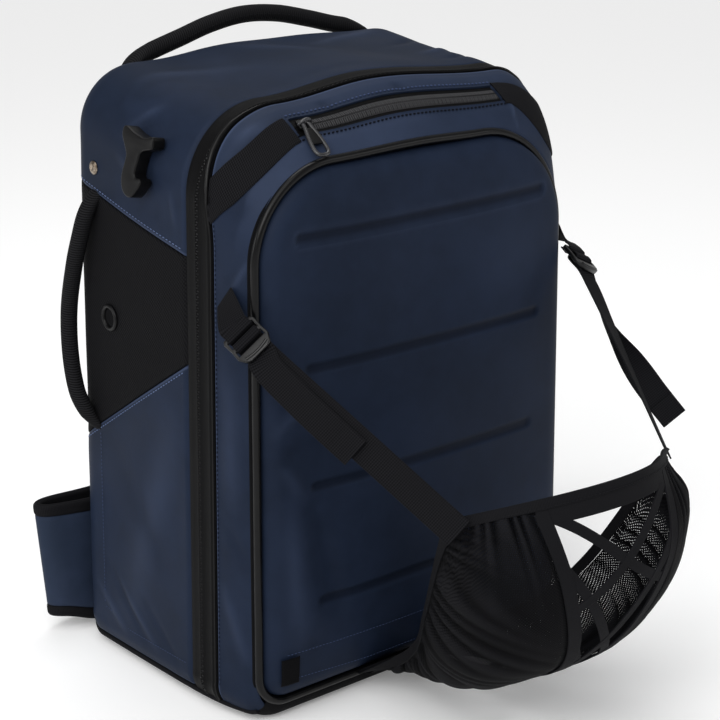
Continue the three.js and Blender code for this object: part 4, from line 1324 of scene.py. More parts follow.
    def base(self) -> None:
        """Base tray with its turned-up edges."""
        turn = np.linspace(0.0, np.pi / 2, 12)
        front = FORM.front + FORM.front_round * (1 - np.cos(turn))
        back = FORM.back - FORM.back_round + FORM.back_round * np.sin(turn)
        y = np.concatenate([front, np.linspace(-104, 92, 24), back])[:, None]
        bend = self.tray_bend
        rim = np.linspace(bend, 1, 9)
        w = np.concatenate([-rim[::-1], np.linspace(-0.76, 0.76, 30), rim])[None]
        s = FORM.section(y, False)
        angle = FORM.base_angle * np.clip((np.abs(w) - bend) / (1 - bend), 0.0, 1.0)
        flat = s.low - s.low_corner
        x = np.where(np.abs(w) < bend, np.abs(w) / bend * flat, flat + s.low_corner * np.sin(angle))
        z = s.bottom + s.low_corner * (1 - np.cos(angle))
        piece("base_panel", wall(xyz(np.sign(w) * x, y, z), self.cloth, -UP), Kit.PLAIN_CLOTH)

    def back(self) -> None:
        """Padded back panel with upright channels."""
        p = mirrored(spread(36, 0.04, 5))[None]
        g = spread(90, 0.04, 6)[:, None]
        s = FORM.section(np.full((1, 1), FORM.back), p > 0, 0.4)
        over = np.clip(np.abs(p) * s.low - (s.low - s.low_corner), 0.0, s.low_corner)
        floor = s.bottom + s.low_corner - np.sqrt(s.low_corner**2 - over**2)
        z = floor + (s.top_at(p * s.half) - floor) * g
        x = p * (s.low + (s.half - s.low) * np.clip((z - s.bottom) / (s.arc_z - s.bottom), 0.0, 1.0))
        bulge, thick = self.pad
        y = FORM.back + bulge * (1 - p**8) * (1 - (2 * g - 1) ** 12)
        for place, depth in self.back_channels:
            y = y - depth * bell(np.abs(x) - place, 5.0) * smooth(0.02, 0.1, g) * smooth(0.02, 0.1, 1 - g)
        made = piece("back_panel", wall(xyz(x, y, z), thick, BEHIND), Kit.SIDE_CLOTH)

    def seams(self) -> None:
        """Pale stitches by the slanted seams, navy ones along the hems, and a cord along each base seam."""
        y = np.linspace(FORM.zip_back + 4, 112, 140)
        z = np.linspace(46.0, self.seam(self.lower_seam, self.hem_y) - 8, 90)
        foot = np.linspace(FORM.zip_back + 6, self.hem_y, 90)
        hems = {
            "rear_hem_stitches": (self.hem_y + 0 * z, z),
            "foot_stitches": (foot, 34.0 + 10.0 * smooth(40.0, self.hem_y, foot)),
        }
        for side in Side:
            for name, line, offset in (("upper", self.upper_seam, 1), ("lower", self.lower_seam, -1)):
                path, out = FORM.on_side(side, y, self.seam(line, y) + offset * self.stitch_inset)
                row = stitches(path, out, *self.seam_stitch)
                trim(side.of(f"{name}_seam_stitches"), row, Kit.PALE_THREAD)
            for name, (depth, height) in hems.items():
                path, out = FORM.on_side(side, depth, height, 0.5)
                trim(side.of(name), stitches(path, out, *self.hem_stitch), Kit.NAVY_THREAD)
            path = FORM.arch(np.linspace(-118.0, 116.0, 120), float(side.value)) - 0.6 * UP
            trim(side.of("base_cord"), tube(path, self.cord, 10, UP), Kit.BINDING)

    def build(self) -> None:
        """All panels of the rear shell."""
        self.crown()
        self.sides()
        self.base()
        self.back()
        self.seams()


@dataclass(frozen=True)
class FrontSection:
    """Main zip, gusset and pocket zip."""

    # Depth and lift across the main zip, from the crown to the gusset
    zip_profile: Table = (
        (-48.6, -1.6), (-49.6, -0.3), (-50.6, 0.2), (-55.0, 0.3), (-59.5, 0.3), (-61.2, 0.9), (-62.4, 1.3),
        (-63.1, 1.0), (-63.4, -0.6), (-63.9, -0.6), (-64.2, 1.0), (-64.9, 1.4), (-66.2, 0.9), (-70.0, 0.5),
        (-75.0, 0.9), (-77.5, 2.0), (-79.2, 2.5), (-80.8, 2.0), (-81.8, 0.6), (-82.1, -1.4),
    )
    # A point inside the bag, and the share of the outline where the zip's teeth end
    inside: Triple = (0.0, -60.0, 250.0)
    zip_end: float = 0.995
    slit: float = -63.65
    lap: float = 15.0
    tooth_pitch: float = 2.4
    # Length, width and height of a tooth
    tooth: Triple = (2.6, 1.3, 1.2)
    # Thickness of the main zip's tape, of the gusset's cloth, and of the pocket zip's tape and coil
    tape: float = 1.4
    cloth: float = 1.6
    pocket_thick: Pair = (0.8, 0.5)
    # Pitch and thread of the stitches on the gusset and beside the pocket zip
    edge_stitch: Pair = (4.0, 0.8)
    pocket_stitch: Pair = (4.4, 1.7)
    # Gusset: rear edge beside the zip, where it starts to reach back over the top, front edge
    rear: float = FORM.zip_front - 0.3
    bend: float = -88.0
    front_edge: float = -124.8
    pocket_ends: Pair = (-108.0, 117.0)
    pocket_back: float = -88.6
    pocket_front: float = -105.0
    # Height that all of the slot lies above
    pocket_floor: float = 450.0
    recess: float = 2.2
    slider_outline: Table = (
        (-6.5, -3.2), (-4.5, -4.6), (3.0, -5.0), (6.5, -4.2), (6.5, 4.2), (3.0, 5.0), (-4.5, 4.6), (-6.5, 3.2)
    )
    # Right half of the line along the middle of the pull's frame, and outline of the plate in it
    pull_half: Table = ((2.0, 1), (3.4, 8), (5.2, 17), (6.2, 28), (5.4, 34), (2.8, 36))
    pull_plate: Table = (
        (-2.6, 8), (2.6, 8), (3.4, 10), (5.2, 23), (4.8, 25), (-4.8, 25), (-5.2, 23), (-3.4, 10)
    )
    # Creases of the gusset: two ends, half width, height
    creases: Table = (
        (-175, -122, 412, -181, -103, 382, 2.8, 3.0), (-104, -108, 505, -100, -120, 492, 2.0, -1.0),
        (122, -108, 500, 119, -121, 480, 1.8, 1.6), (-128, -86, 508, -150, -80, 500, 5, 1.6),
        (-70, -80, 518, -60, -88, 516, 4, -1.2), (10, -78, 522, 20, -88, 520, 4, -1.2),
        (-178, -100, 440, -172, -112, 460, 8, -1.5), (-182, -100, 300, -184, -104, 200, 9, 1.0),
        (-185, -96, 180, -180, -116, 150, 5, -1.0), (-186, -92, 120, -182, -116, 60, 6, 1.2),
    )

    def over(self, t: Array) -> Array:
        """How far the gusset laps the zip: fully over the top, not at all down the sides."""
        return smooth(0.38, 0.22, np.abs(t))

    @property
    def pocket_middle(self) -> float:
        """Depth of the pocket zip's middle line."""
        return 0.5 * (self.pocket_back + self.pocket_front) - 0.6

    def rear_edge(self, t: Array) -> Array:
        """Depth of the gusset's rear edge."""
        return self.rear + self.lap * self.over(t)

    def rise(self, grid: Array, t: Array) -> Array:
        """Height of the gusset's cloth above the bag's form, apart from its slot and its turned edges.

        Args:
            grid: Points on the form.
            t: Their shares of the outline.

        Returns:
            A soft bulge with unevenness and creases, which fade out at the edges and the slot.
        """
        gap = np.minimum(self.rear_edge(t) - grid[..., 1], grid[..., 1] - self.front_edge)
        inner = smooth(0.0, 14.0, gap)
        soft = 0.7 * ripple(grid, 46.0, 5) + np.sin(np.pi * np.clip(gap / 40.0, 0, 1))
        return soft * inner * smooth(0.0, 8.0, -self.in_slot(grid)) + folds(grid, self.creases) * inner

    def main_zip(self) -> None:
        """Tape with a slit, a glossy lip that rolls up at the top corners, and teeth along the slit."""
        t = np.linspace(-1, 1, 420)[None]
        depth, lift = np.array(self.zip_profile).T[..., None]
        reach = 1 - (self.lap / (self.slit - FORM.zip_front)) * self.over(t) * (depth < self.slit)
        grid = FORM.arch(self.slit + (depth - self.slit) * reach, t, lift)
        piece("main_zip", wall(grid, self.tape, grid - self.inside), Kit.TAPE)
        t = np.linspace(-self.zip_end, self.zip_end, 500)
        corner = bell(np.abs(t) - 0.27, 0.05)
        size = 1.1 + 1.5 * corner + 0.12 * np.sin(300 * t) * corner
        path = FORM.arch(self.rear_edge(t) + 0.6 + size, t, 0.9 + 0.8 * corner)
        trim("main_zip_lip", tube(path, size[:, None], 10, BEHIND), Kit.GLOSS)
        t = np.linspace(-self.zip_end, self.zip_end, 2400)
        steps = run_of(FORM.arch(self.slit, t, 0.5))
        t = np.interp(np.arange(0.0, steps[-1], self.tooth_pitch), steps, t)
        spot = FORM.arch(self.slit, t, 0.75)
        out = unit(FORM.arch(self.slit, t, 2.0) - spot)
        deep = square_to(BEHIND, out)
        odd = np.where(np.arange(len(t)) % 2, 1.0, -1.0)[:, None]
        teeth = repeated(bead(*self.tooth), spot + odd * 0.9 * deep, (deep, np.cross(deep, out), out))
        trim("main_zip_teeth", teeth, Kit.TEETH)

    def in_slot(self, grid: Array) -> Array:
        """How far inside the pocket zip's slot each point is, from its nearest edge.

        Args:
            grid: Points on the gusset.

        Returns:
            Distances, below 0 outside the slot.
        """
        x, y = grid[..., 0], grid[..., 1]
        left, right = self.pocket_ends
        across = np.minimum(x - left, right - x)
        inside = np.minimum(across, np.minimum(self.pocket_back - y, y - self.pocket_front))
        return np.where(grid[..., 2] > self.pocket_floor, inside, -99.0)

    def gusset_places(self) -> tuple[Array, Array]:
        """Where the gusset's points lie, closest together at the edges of the slot.

        Returns:
            Depths, which reach further back over the top, and shares of the outline.
        """
        near = np.array([-0.9, -0.45, -0.12, 0.12, 0.6, 1.4])
        back, ahead = np.linspace(self.rear, -86.0, 8), np.linspace(-107, self.front_edge, 24)
        y = back, np.linspace(-92, -102, 7), ahead, self.pocket_back - near, self.pocket_front + near
        y = np.unique(np.concatenate(y))[:, None]
        t = np.linspace(-1, 1, 4000)
        line = FORM.arch(-97.0, t)
        top = line[:, 2] > self.pocket_floor
        marks = np.add.outer(self.pocket_ends, (-1.2, -0.5, -0.1, 0.1, 0.5, 1.2)).ravel()
        marks = np.interp(marks, line[top, 0], t[top])
        t = np.unique(np.concatenate([np.linspace(-1, 1, 360), marks]))[None]
        share = np.clip((y - self.bend) / (self.rear - self.bend), 0.0, 1.0)
        return y + (self.rear_edge(t) - self.rear) * share, t

    def gusset(self) -> None:
        """Gusset round the front, set back in the pocket zip's slot, with folded slot edges."""
        y, t = self.gusset_places()
        grid = FORM.arch(y, t)
        up = grid - self.inside
        normals = normals_of(grid)
        normals = normals * np.sign(np.sum(normals * up))
        slot, over = self.in_slot(grid), self.over(t)
        rear, ahead = self.rear_edge(t) - y, y - self.front_edge
        fold = 0.7 * bell(np.clip(-slot, 0, 30), 1.6) * (slot <= 0)
        lapped = 1.6 * over * smooth(-84.0, -76.0, y)
        rise = self.rise(grid, t) + fold + lapped - self.recess * (slot > 0)
        rise = rise - hem(rear, 2.2) - hem(ahead, 1.0)
        # Painted light: crease crests lighter and dents darker, a painted highlight along the rolled rear
        # edge, and painted light on the strip above the slot and the strip in front of it, brighter to the
        # left
        shade = -0.09 * folds(grid, self.creases) - 0.3 * bell(rear - 1.6, 1.0) * (slot <= 0)
        painted_light = 0.06 + 0.1 * smooth(60.0, -40.0, grid[..., 0])
        shade = shade - 0.1 * over * smooth(-92.0, -82.0, y) - painted_light * over * smooth(-104.0, -109.0, y)
        piece("gusset_panel", wall(grid + normals * rise[..., None], self.cloth, up, shade), Kit.COATED)
        for side in Side:
            t = side.value * np.linspace(0.24, 0.97, 260)
            y = self.rear_edge(t) - 3.0
            path = FORM.arch(y, t, 0.4)
            row = stitches(path, unit(FORM.arch(y, t, 2.0) - path), *self.edge_stitch)
            trim(side.of("gusset_stitches"), row, Kit.DARK_THREAD)

    def pocket_zip(self) -> None:
        """Pocket zip: dark tape, a paler ribbed coil along its middle and a stitch row on both sides."""
        (left, right), (tape, coil) = self.pocket_ends, self.pocket_thick
        x = np.linspace(left + 0.4, right - 0.4, 150)[None]
        y = np.linspace(self.pocket_back - 0.4, self.pocket_front + 0.4, 15)[:, None]
        grid, normal = FORM.on_top(x, y)
        up = np.array([0.0, -0.3, 1.0])
        piece("pocket_zip", wall(grid - 1.0 * normal, tape, up), Kit.TAPE)
        rows = np.array([-5.4, -5.0, -3.0, -1.0, -0.35, 0.35, 1.0, 3.0, 5.0, 5.4])[:, None] * 0.9
        lift = np.array([-0.9, -0.4, 0.1, 0.5, -0.3, -0.3, 0.5, 0.1, -0.4, -0.9])[:, None]
        x = np.linspace(left + 8, right - 2, 860)[None]
        grid, normal = FORM.on_top(x, self.pocket_middle + rows)
        ribs = 0.15 * np.sin(2 * np.pi * x / 1.5) * (np.abs(rows) < 4.6) * (np.abs(rows) > 0.8)
        trim("pocket_zip_coil", wall(grid + (lift + ribs)[..., None] * normal, coil, up), Kit.COIL)
        x = np.linspace(left - 4, right + 4, 160)
        back = ("back", self.pocket_back + 3.2, Kit.NAVY_THREAD)
        front = ("front", self.pocket_front - 3.0, Kit.DARK_THREAD)
        for name, y, thread in (back, front):
            path, out = FORM.on_top(x, y, 0.75)
            path = path + out * self.rise(path, np.sign(x) * 0.1)[:, None]
            trim(f"pocket_stitches_{name}", stitches(path, out, *self.pocket_stitch), thread)

    def slider(self) -> None:
        """Slider with a bridge, and a pull made of a rounded frame round a plate."""
        x, y = self.pocket_ends[0] + 9, self.pocket_middle
        point, out = FORM.on_top(x, y, 0.4)
        down = unit(FORM.on_top(x, y - 6.0)[0] - FORM.on_top(x, y + 6.0)[0])
        across = np.cross(down, out)
        place = Place(point, across, down, out)
        placed("pocket_slider", plate(self.slider_outline, [], 3.0, 0.7, place), Kit.PLASTIC)
        bow = np.linspace(0, np.pi, 14)
        arc = place.put(xyz(-5.6 * np.cos(bow), 0.0, 2.0 + 5.4 * np.sin(bow)))
        # The bridge and the pull's frame take the paler plastic, a painted highlight
        trim("pocket_slider_bridge", tube(arc, (1.5, 1.5), 10, down), Kit.PULL_PAINTED_HIGHLIGHT)
        lean = unit(down * 0.99 - out * 0.06 + across * 0.08)
        side = square_to(across, lean)
        rise = toward(np.cross(side, lean), out)
        pull = Place(point + 4.2 * out - 1.0 * down, side, lean, rise)
        rim = pull.put(loop_along(symmetric(self.pull_half) @ np.eye(2, 3), 70))
        piece("pocket_pull", tube(rim, (1.8, 1.7), 10, rise, closed=True), Kit.PULL_PAINTED_HIGHLIGHT)
        inner = plate(self.pull_plate, [], 1.9, 0.4, pull.moved(-0.8))
        placed("pocket_pull_plate", inner, Kit.PLASTIC, solid=False)

    def build(self) -> None:
        """All pieces between the crown and the front panel."""
        self.main_zip()
        self.gusset()
        self.pocket_zip()
        self.slider()


@dataclass(frozen=True)
class FrontPanel:
    """Padded front panel with pressed channels, its piping, hem stitches and bare label."""

    inset: float = 3.4
    bulge: float = 11.0
    puff: float = 8.5
    thick: float = 3.0
    overhang: float = 4.5
    # Radii of the piping and of the strip that it is sewn in with
    piping: Pair = (3.7, 3.6)
    strip: Pair = (2.4, 2.6)
    cord_y: float = -125.2
    # Height and half length of each pressed channel
    channels: Table = ((107.0, 121.0), (212.0, 127.0), (316.0, 133.0), (426.0, 139.0))
    channel_half: float = 5.6
    channel_depth: float = 1.7
    # Pitch and thread of the hem's stitches
    hem_stitch: Pair = (3.6, 0.6)
    # Place of the label's middle, width, height and thickness
    label: tuple[float, ...] = (-150.0, 50.0, 18.0, 25.0, 0.8)
    # Soft dents of the panel: two ends, half width, height
    creases: Table = (
        (-164, -137, 262, -128, -142, 292, 6, 2.2), (-160, -137, 246, -100, -144, 250, 9, -2.4),
        (-158, -137, 240, -134, -142, 206, 6, 1.8), (-120, -140, 190, -100, -145, 90, 12, -3.2),
        (-146, -137, 200, -138, -140, 80, 11, 2.8), (60, -142, 400, 120, -140, 330, 40, 1.4),
        (-60, -143, 370, 30, -144, 350, 40, -1.0), (-120, -140, 70, -20, -141, 90, 12, -1.2),
    )

    def edge(self, x: Array) -> Section:
        """Section of the panel's own outline on the side that x lies on."""
        return FORM.section(np.full(np.shape(x), FORM.front), x > 0, -self.inset)

    def face(self, x: Array, z: Array) -> Array:
        """Depth of the panel's face: a low crown with a puffed rim that drops off at its outline.

        Args:
            x: Distances from the middle.
            z: Heights.

        Returns:
            Depths.
        """
        s = self.edge(x)
        p = np.clip(np.abs(x) / s.half_at(z), 0.0, 1.0)
        q = np.clip((z - s.bottom) / (s.shoulder + s.crown - s.bottom), 0.0, 1.0)
        crown = self.bulge * (1 - p**2.6) * (1 - np.abs(2 * q - 1) ** 6)
        edge = 1 - np.clip(self.gap(x, z) / 17.0, 0.0, 1.0)
        return FORM.front - crown - self.puff * (1 - edge**2.4)

    def gap(self, x: Array, z: Array) -> Array:
        """Distance inside the panel's outline: the nearest of its sides, ends and corner arcs.

        Args:
            x: Distances from the middle.
            z: Heights.

        Returns:
            Distances, below 0 outside.
        """
        s = self.edge(x)
        side = s.half_at(np.clip(z, s.bottom + s.low_corner, s.arc_z)) - np.abs(x)
        gap = np.minimum(side, np.minimum(s.shoulder - z, z - s.bottom))
        beyond, rise = np.abs(x) - (s.half - s.corner), z - s.arc_z
        corner = s.corner - np.hypot(beyond, rise)
        gap = np.where((beyond > 0) & (rise > 0), corner, gap)
        beyond, fall = np.abs(x) - (s.low - s.low_corner), s.bottom + s.low_corner - z
        return np.where((beyond > 0) & (fall > 0), s.low_corner - np.hypot(beyond, fall), gap)

    def panel(self) -> None:
        """The panel: crowned face, puffed edge, pressed channels with round ends and soft dents."""
        s = self.edge(np.array(0.0))
        low = s.bottom + s.low_corner * (1 - np.cos(np.linspace(0.06, np.pi / 2, 16)))
        high = s.arc_z + s.corner * np.sin(np.linspace(0.0, np.pi / 2, 34))
        z = np.unique(np.concatenate([low, np.linspace(low[-1], high[0], 190), high]))[:, None]
        p = mirrored(spread(58, 0.05, 8))[None]
        x = p * self.edge(p).half_at(z)
        y = self.face(x, z)
        gap = np.maximum(self.gap(x, z), 0.0)
        grid = xyz(x, y, z)
        press, wide = np.zeros(grid.shape[:2]), self.channel_half
        for height, half in self.channels:
            off = np.hypot(np.clip(np.abs(x) - half + wide, 0.0, None), z - height)
            press = np.maximum(press, self.channel_depth * smooth(wide, 0.45 * wide, off))
            press = press - 0.15 * bell(off - wide - 1.5, 1.6)
        uneven = 0.9 * ripple(grid, 90.0, 8) + folds(grid, self.creases)
        y = y + press - uneven * smooth(0.0, 30.0, gap) + hem(gap, 5.0)
        x = x + self.overhang * bell(gap - 6.0, 6.0) * smooth(60.0, 140.0, x)
        grid = xyz(x, y + 1.6, z)
        # Painted shade in the pressed channels with a painted highlight along the low ridge round each, and
        # crease crests lighter and dents darker
        shade = 0.55 * press / self.channel_depth - 0.03 * folds(grid, self.creases)
        made = piece("front_panel", wall(grid, self.thick, AHEAD, shade), Kit.COATED)

    def edging(self) -> None:
        """Glossy piping all round the front: a cord in a folded strip, closed along the base."""
        s = FORM.section(np.array(FORM.front), False)
        arch = FORM.arch(FORM.front, np.linspace(-1, 1, 700))
        arch[:, 1] = self.cord_y
        angle = np.linspace(FORM.base_angle, 0.0, 14)[1:]
        x = s.low - s.low_corner + s.low_corner * np.sin(angle)
        right = xyz(x, self.cord_y, s.bottom + s.low_corner * (1 - np.cos(angle)))
        left = right[::-1] * (-1.0, 1.0, 1.0)
        under = np.linspace(right[-1], left[0], 40)[1:-1]
        loop = np.vstack([arch, right, under, left[:-1], arch[:1]])
        steps = run_of(loop)
        path = read(np.linspace(0.0, steps[-1], 520, endpoint=False), steps, loop)
        tucked = smooth(40.0, 140.0, path[:, :1]) * smooth(20.0, 60.0, path[:, 2:])
        path = path - tucked * (1.4, 0.0, 0.0)
        radius = np.array(self.piping) - 0.9 * tucked
        piece("front_piping", tube(path, radius, 14, BEHIND, closed=True), Kit.GLOSS)
        inward = unit(250.0 * UP - path * (1.0, 0.0, 1.0))
        strip = path + 4.6 * BEHIND - 1.2 * inward
        trim("piping_strip", tube(strip, self.strip, 10, BEHIND, closed=True), Kit.PLAIN_CLOTH)

    def trims(self) -> None:
        """Two rows of hem stitches across the panel's foot and the bare woven label."""
        x = np.linspace(-156, 156, 240)
        rows = {"upper": 66.0 + 0 * x, "lower": 38.0 + 4.0 * smooth(60, 150, np.abs(x))}
        for name, z in rows.items():
            path = xyz(x, self.face(x, z) - 0.9, z)
            trim(f"hem_stitches_{name}", stitches(path, AHEAD, *self.hem_stitch), Kit.NAVY_THREAD)
        middle_x, middle_z, width, height, thick = self.label
        a, b = np.meshgrid(np.linspace(-0.5, 0.5, 20), np.linspace(-0.5, 0.5, 26))
        x, z = middle_x + a * width, middle_z + b * height
        gap = np.minimum((0.5 - np.abs(a)) * width, (0.5 - np.abs(b)) * height)
        grid = xyz(x, self.face(x, z) - 1.7 + hem(gap, 0.6), z)
        piece("woven_label", wall(grid, thick, AHEAD), Kit.PLAIN_CLOTH)

    def build(self) -> None:
        """The panel with all its trims."""
        self.panel()
        self.edging()
        self.trims()


@dataclass(frozen=True)
class Handles:
    """Round top handle and ribbed side handles."""

    top_radius: float = 7.9
    # Top handle from its left end to its right end
    top_path: Table = (
        (-121, 118, 516), (-120, 122.5, 525), (-111, 124, 533), (-95, 124.5, 538), (-63, 125, 546.5),
        (-29, 125.5, 555.5), (8, 126, 560.5), (46, 126, 558), (84, 125.5, 549.5), (110, 125, 542.5),
        (134, 124, 537), (147, 123, 532), (150, 120, 524), (150, 117, 516),
    )
    # Height, depth, distance from the side and radii out and across along the side handle
    side_path: Table = (
        (440, 82, -7, 2, 7.6), (433, 84, -4, 3, 8), (427, 85.5, 0.5, 4.8, 8), (419, 87.5, 4.5, 6.4, 7.8),
        (408, 90.5, 7.5, 7.3, 7.6), (392, 94.5, 9.8, 7.5, 7.5), (366, 101.5, 11.5, 7.5, 7.5),
        (320, 112, 14, 7.5, 7.5), (280, 112, 14, 7.5, 7.5), (248, 105, 11, 7.5, 7.5), (232, 98, 7, 7, 7.5),
        (221, 92.5, 1.5, 4.5, 7.5), (213, 88.5, -4, 2.4, 7), (205, 85, -7, 2, 6),
    )

    def top(self) -> None:
        """Top handle: a round tube between flat ends that are sewn to the crown, with a row of stitches."""
        path = along(np.array(self.top_path), 150)
        share = np.linspace(0, 1, 150)
        ends = smooth(0.14, 0.03, np.minimum(share, 1 - share))
        radius = np.column_stack([self.top_radius * (1 - 0.62 * ends), self.top_radius * (1 + 0.45 * ends)])
        piece("top_handle", tube(path, radius, 20, BEHIND), Kit.GRIP)
        row = stitches(path[28:-28] + 7.75 * AHEAD, AHEAD, 4.0, 0.8)
        trim("top_handle_stitches", row, Kit.BLACK_THREAD)

    def sides(self) -> None:
        """Side handles: ribbed tubes whose flat ends go in at the two slanted seams."""
        rows = np.array(self.side_path, float)
        for side in Side:
            points, normals = FORM.on_side(side, rows[:, 1], rows[:, 0])
            path = along(np.column_stack([points + rows[:, 2:3] * normals, rows[:, 3:]]), 170)
            piece(side.of("side_handle"), tube(path[:, :3], path[:, 3:], 20, BEHIND), Kit.GRIP)

    def build(self) -> None:
        """All handles."""
        self.top()
        self.sides()


@dataclass(frozen=True)
class SideFittings:
    """Rivets, ringed vents and gear hooks on both sides."""

    rivet: Pair = (84.0, 453.0)
    vent: Pair = (64.0, 324.0)
    hook: Pair = (-8.0, 473.0)
    hook_thick: float = 13.4
    # Outline of the gear hook seen from the side: depth and height from its middle
    hook_outline: Table = (
        (25, 26), (29, 25), (30, 18), (25, 9), (22, 3), (23, -5), (24.5, -12), (24.5, -19), (22, -26),
        (17, -30.5), (10, -31), (3, -24), (-1, -17), (1.5, -14), (6, -14), (8, -11), (7.5, -6), (6, -0.5),
        (4.5, 5.5), (1, 8.5), (-9, 11.5), (-11, 13), (-11, 20), (-9, 22), (2, 19.5), (8, 20.5), (16, 22.5),
    )
    # Radius and height round the rivet's cap, the vent's ring and the disc in it
    cap: Table = (
        (0.02, 0), (6, 0), (6.1, 0.5), (5.7, 1.2), (4.6, 1.9), (3.2, 2.4), (2.6, 2.3), (1.4, 1.7), (0.02, 1.5)
    )
    ring: Table = (
        (8.0, -1.0), (8.2, 0.6), (8.6, 1.5), (9.4, 2.1), (10.6, 2.1),
        (11.6, 1.5), (12.0, 0.5), (11.8, 0.1), (8.6, 0.0), (8.0, -1.0),
    )
    disc: Table = ((0.02, -0.4), (2.0, -0.3), (5.0, -0.5), (8.3, -0.9), (8.3, -1.4), (0.02, -1.2))

    def build(self) -> None:
        """All fittings of both sides."""
        for side in Side:
            spot = FORM.side_place(side, *self.rivet, 0.2)
            piece(side.of("rivet"), turned(self.cap, 28, spot), Kit.METAL)
            spot = FORM.side_place(side, *self.vent, 0.3)
            piece(side.of("vent"), turned(self.ring, 44, spot), Kit.PLASTIC)
            trim(side.of("vent_mesh"), turned(self.disc, 36, spot), Kit.PLAIN_CLOTH)
            spot = FORM.side_place(side, *self.hook, 0.4)
            corners = np.array(self.hook_outline, float) * (side.value, 1.0)
            outline = loop_along(corners @ np.eye(2, 3), 180)[:, :2]
            placed(side.of("gear_hook"), plate(outline, [], self.hook_thick, 1.5, spot), Kit.PLASTIC)


@dataclass(frozen=True)
class YokeStraps:
    """Webbing that runs slantwise over the upper corners of the gusset."""

    section: FrontSection
    # Ends of the middle line as depth and length along the outline, bow to the front, height off the cloth
    left_line: tuple = ((-98.5, 111.0), (-72.0, 222.0), 12.0, 0.0)
    right_line: tuple = ((-97.5, 117.0), (-73.0, 244.0), 18.5, 0.3)
    width: float = 22.0
    thick: float = 1.4

    def build(self) -> None:
        """Both straps: bands bowed to the front on the unrolled gusset, cut off along the main zip."""
        f = np.linspace(0, 1, 70)[:, None]
        w = spread(14, 0.06, 4)[None] - 0.5
        arc = np.sin(np.pi * f)
        for side in Side:
            start, end, bow, stand = side.pick(self.left_line, self.right_line)
            middle = np.array(start) + np.subtract(end, start) * f - bow * arc * (1.0, 0.0)
            deep, run = np.moveaxis(unit(np.gradient(middle, axis=0)), -1, 0)[..., None]
            y = middle[:, :1] + w * self.width * run
            # The right strap starts square to the pocket zip
            square = side.pick(1.0, smooth(0.0, 0.3, f))
            length = middle[:, 1:] - w * self.width * deep * square
            t = side.value * length / sum(FORM.lengths(FORM.section(y, side is Side.RIGHT)))
            y = np.clip(y, self.section.front_edge + 2.0, self.section.rear_edge(t) - 0.5)
            edge = hem((0.5 - np.abs(w)) * self.width, 0.9)
            lift = self.section.rise(FORM.arch(y, t), t) + self.thick + 0.5 - edge + stand * arc
            band = wall(FORM.arch(y, t, lift), self.thick, np.array([side.value, 0.0, 1.0]))
            piece(side.of("yoke_strap"), band, Kit.WEBBING)


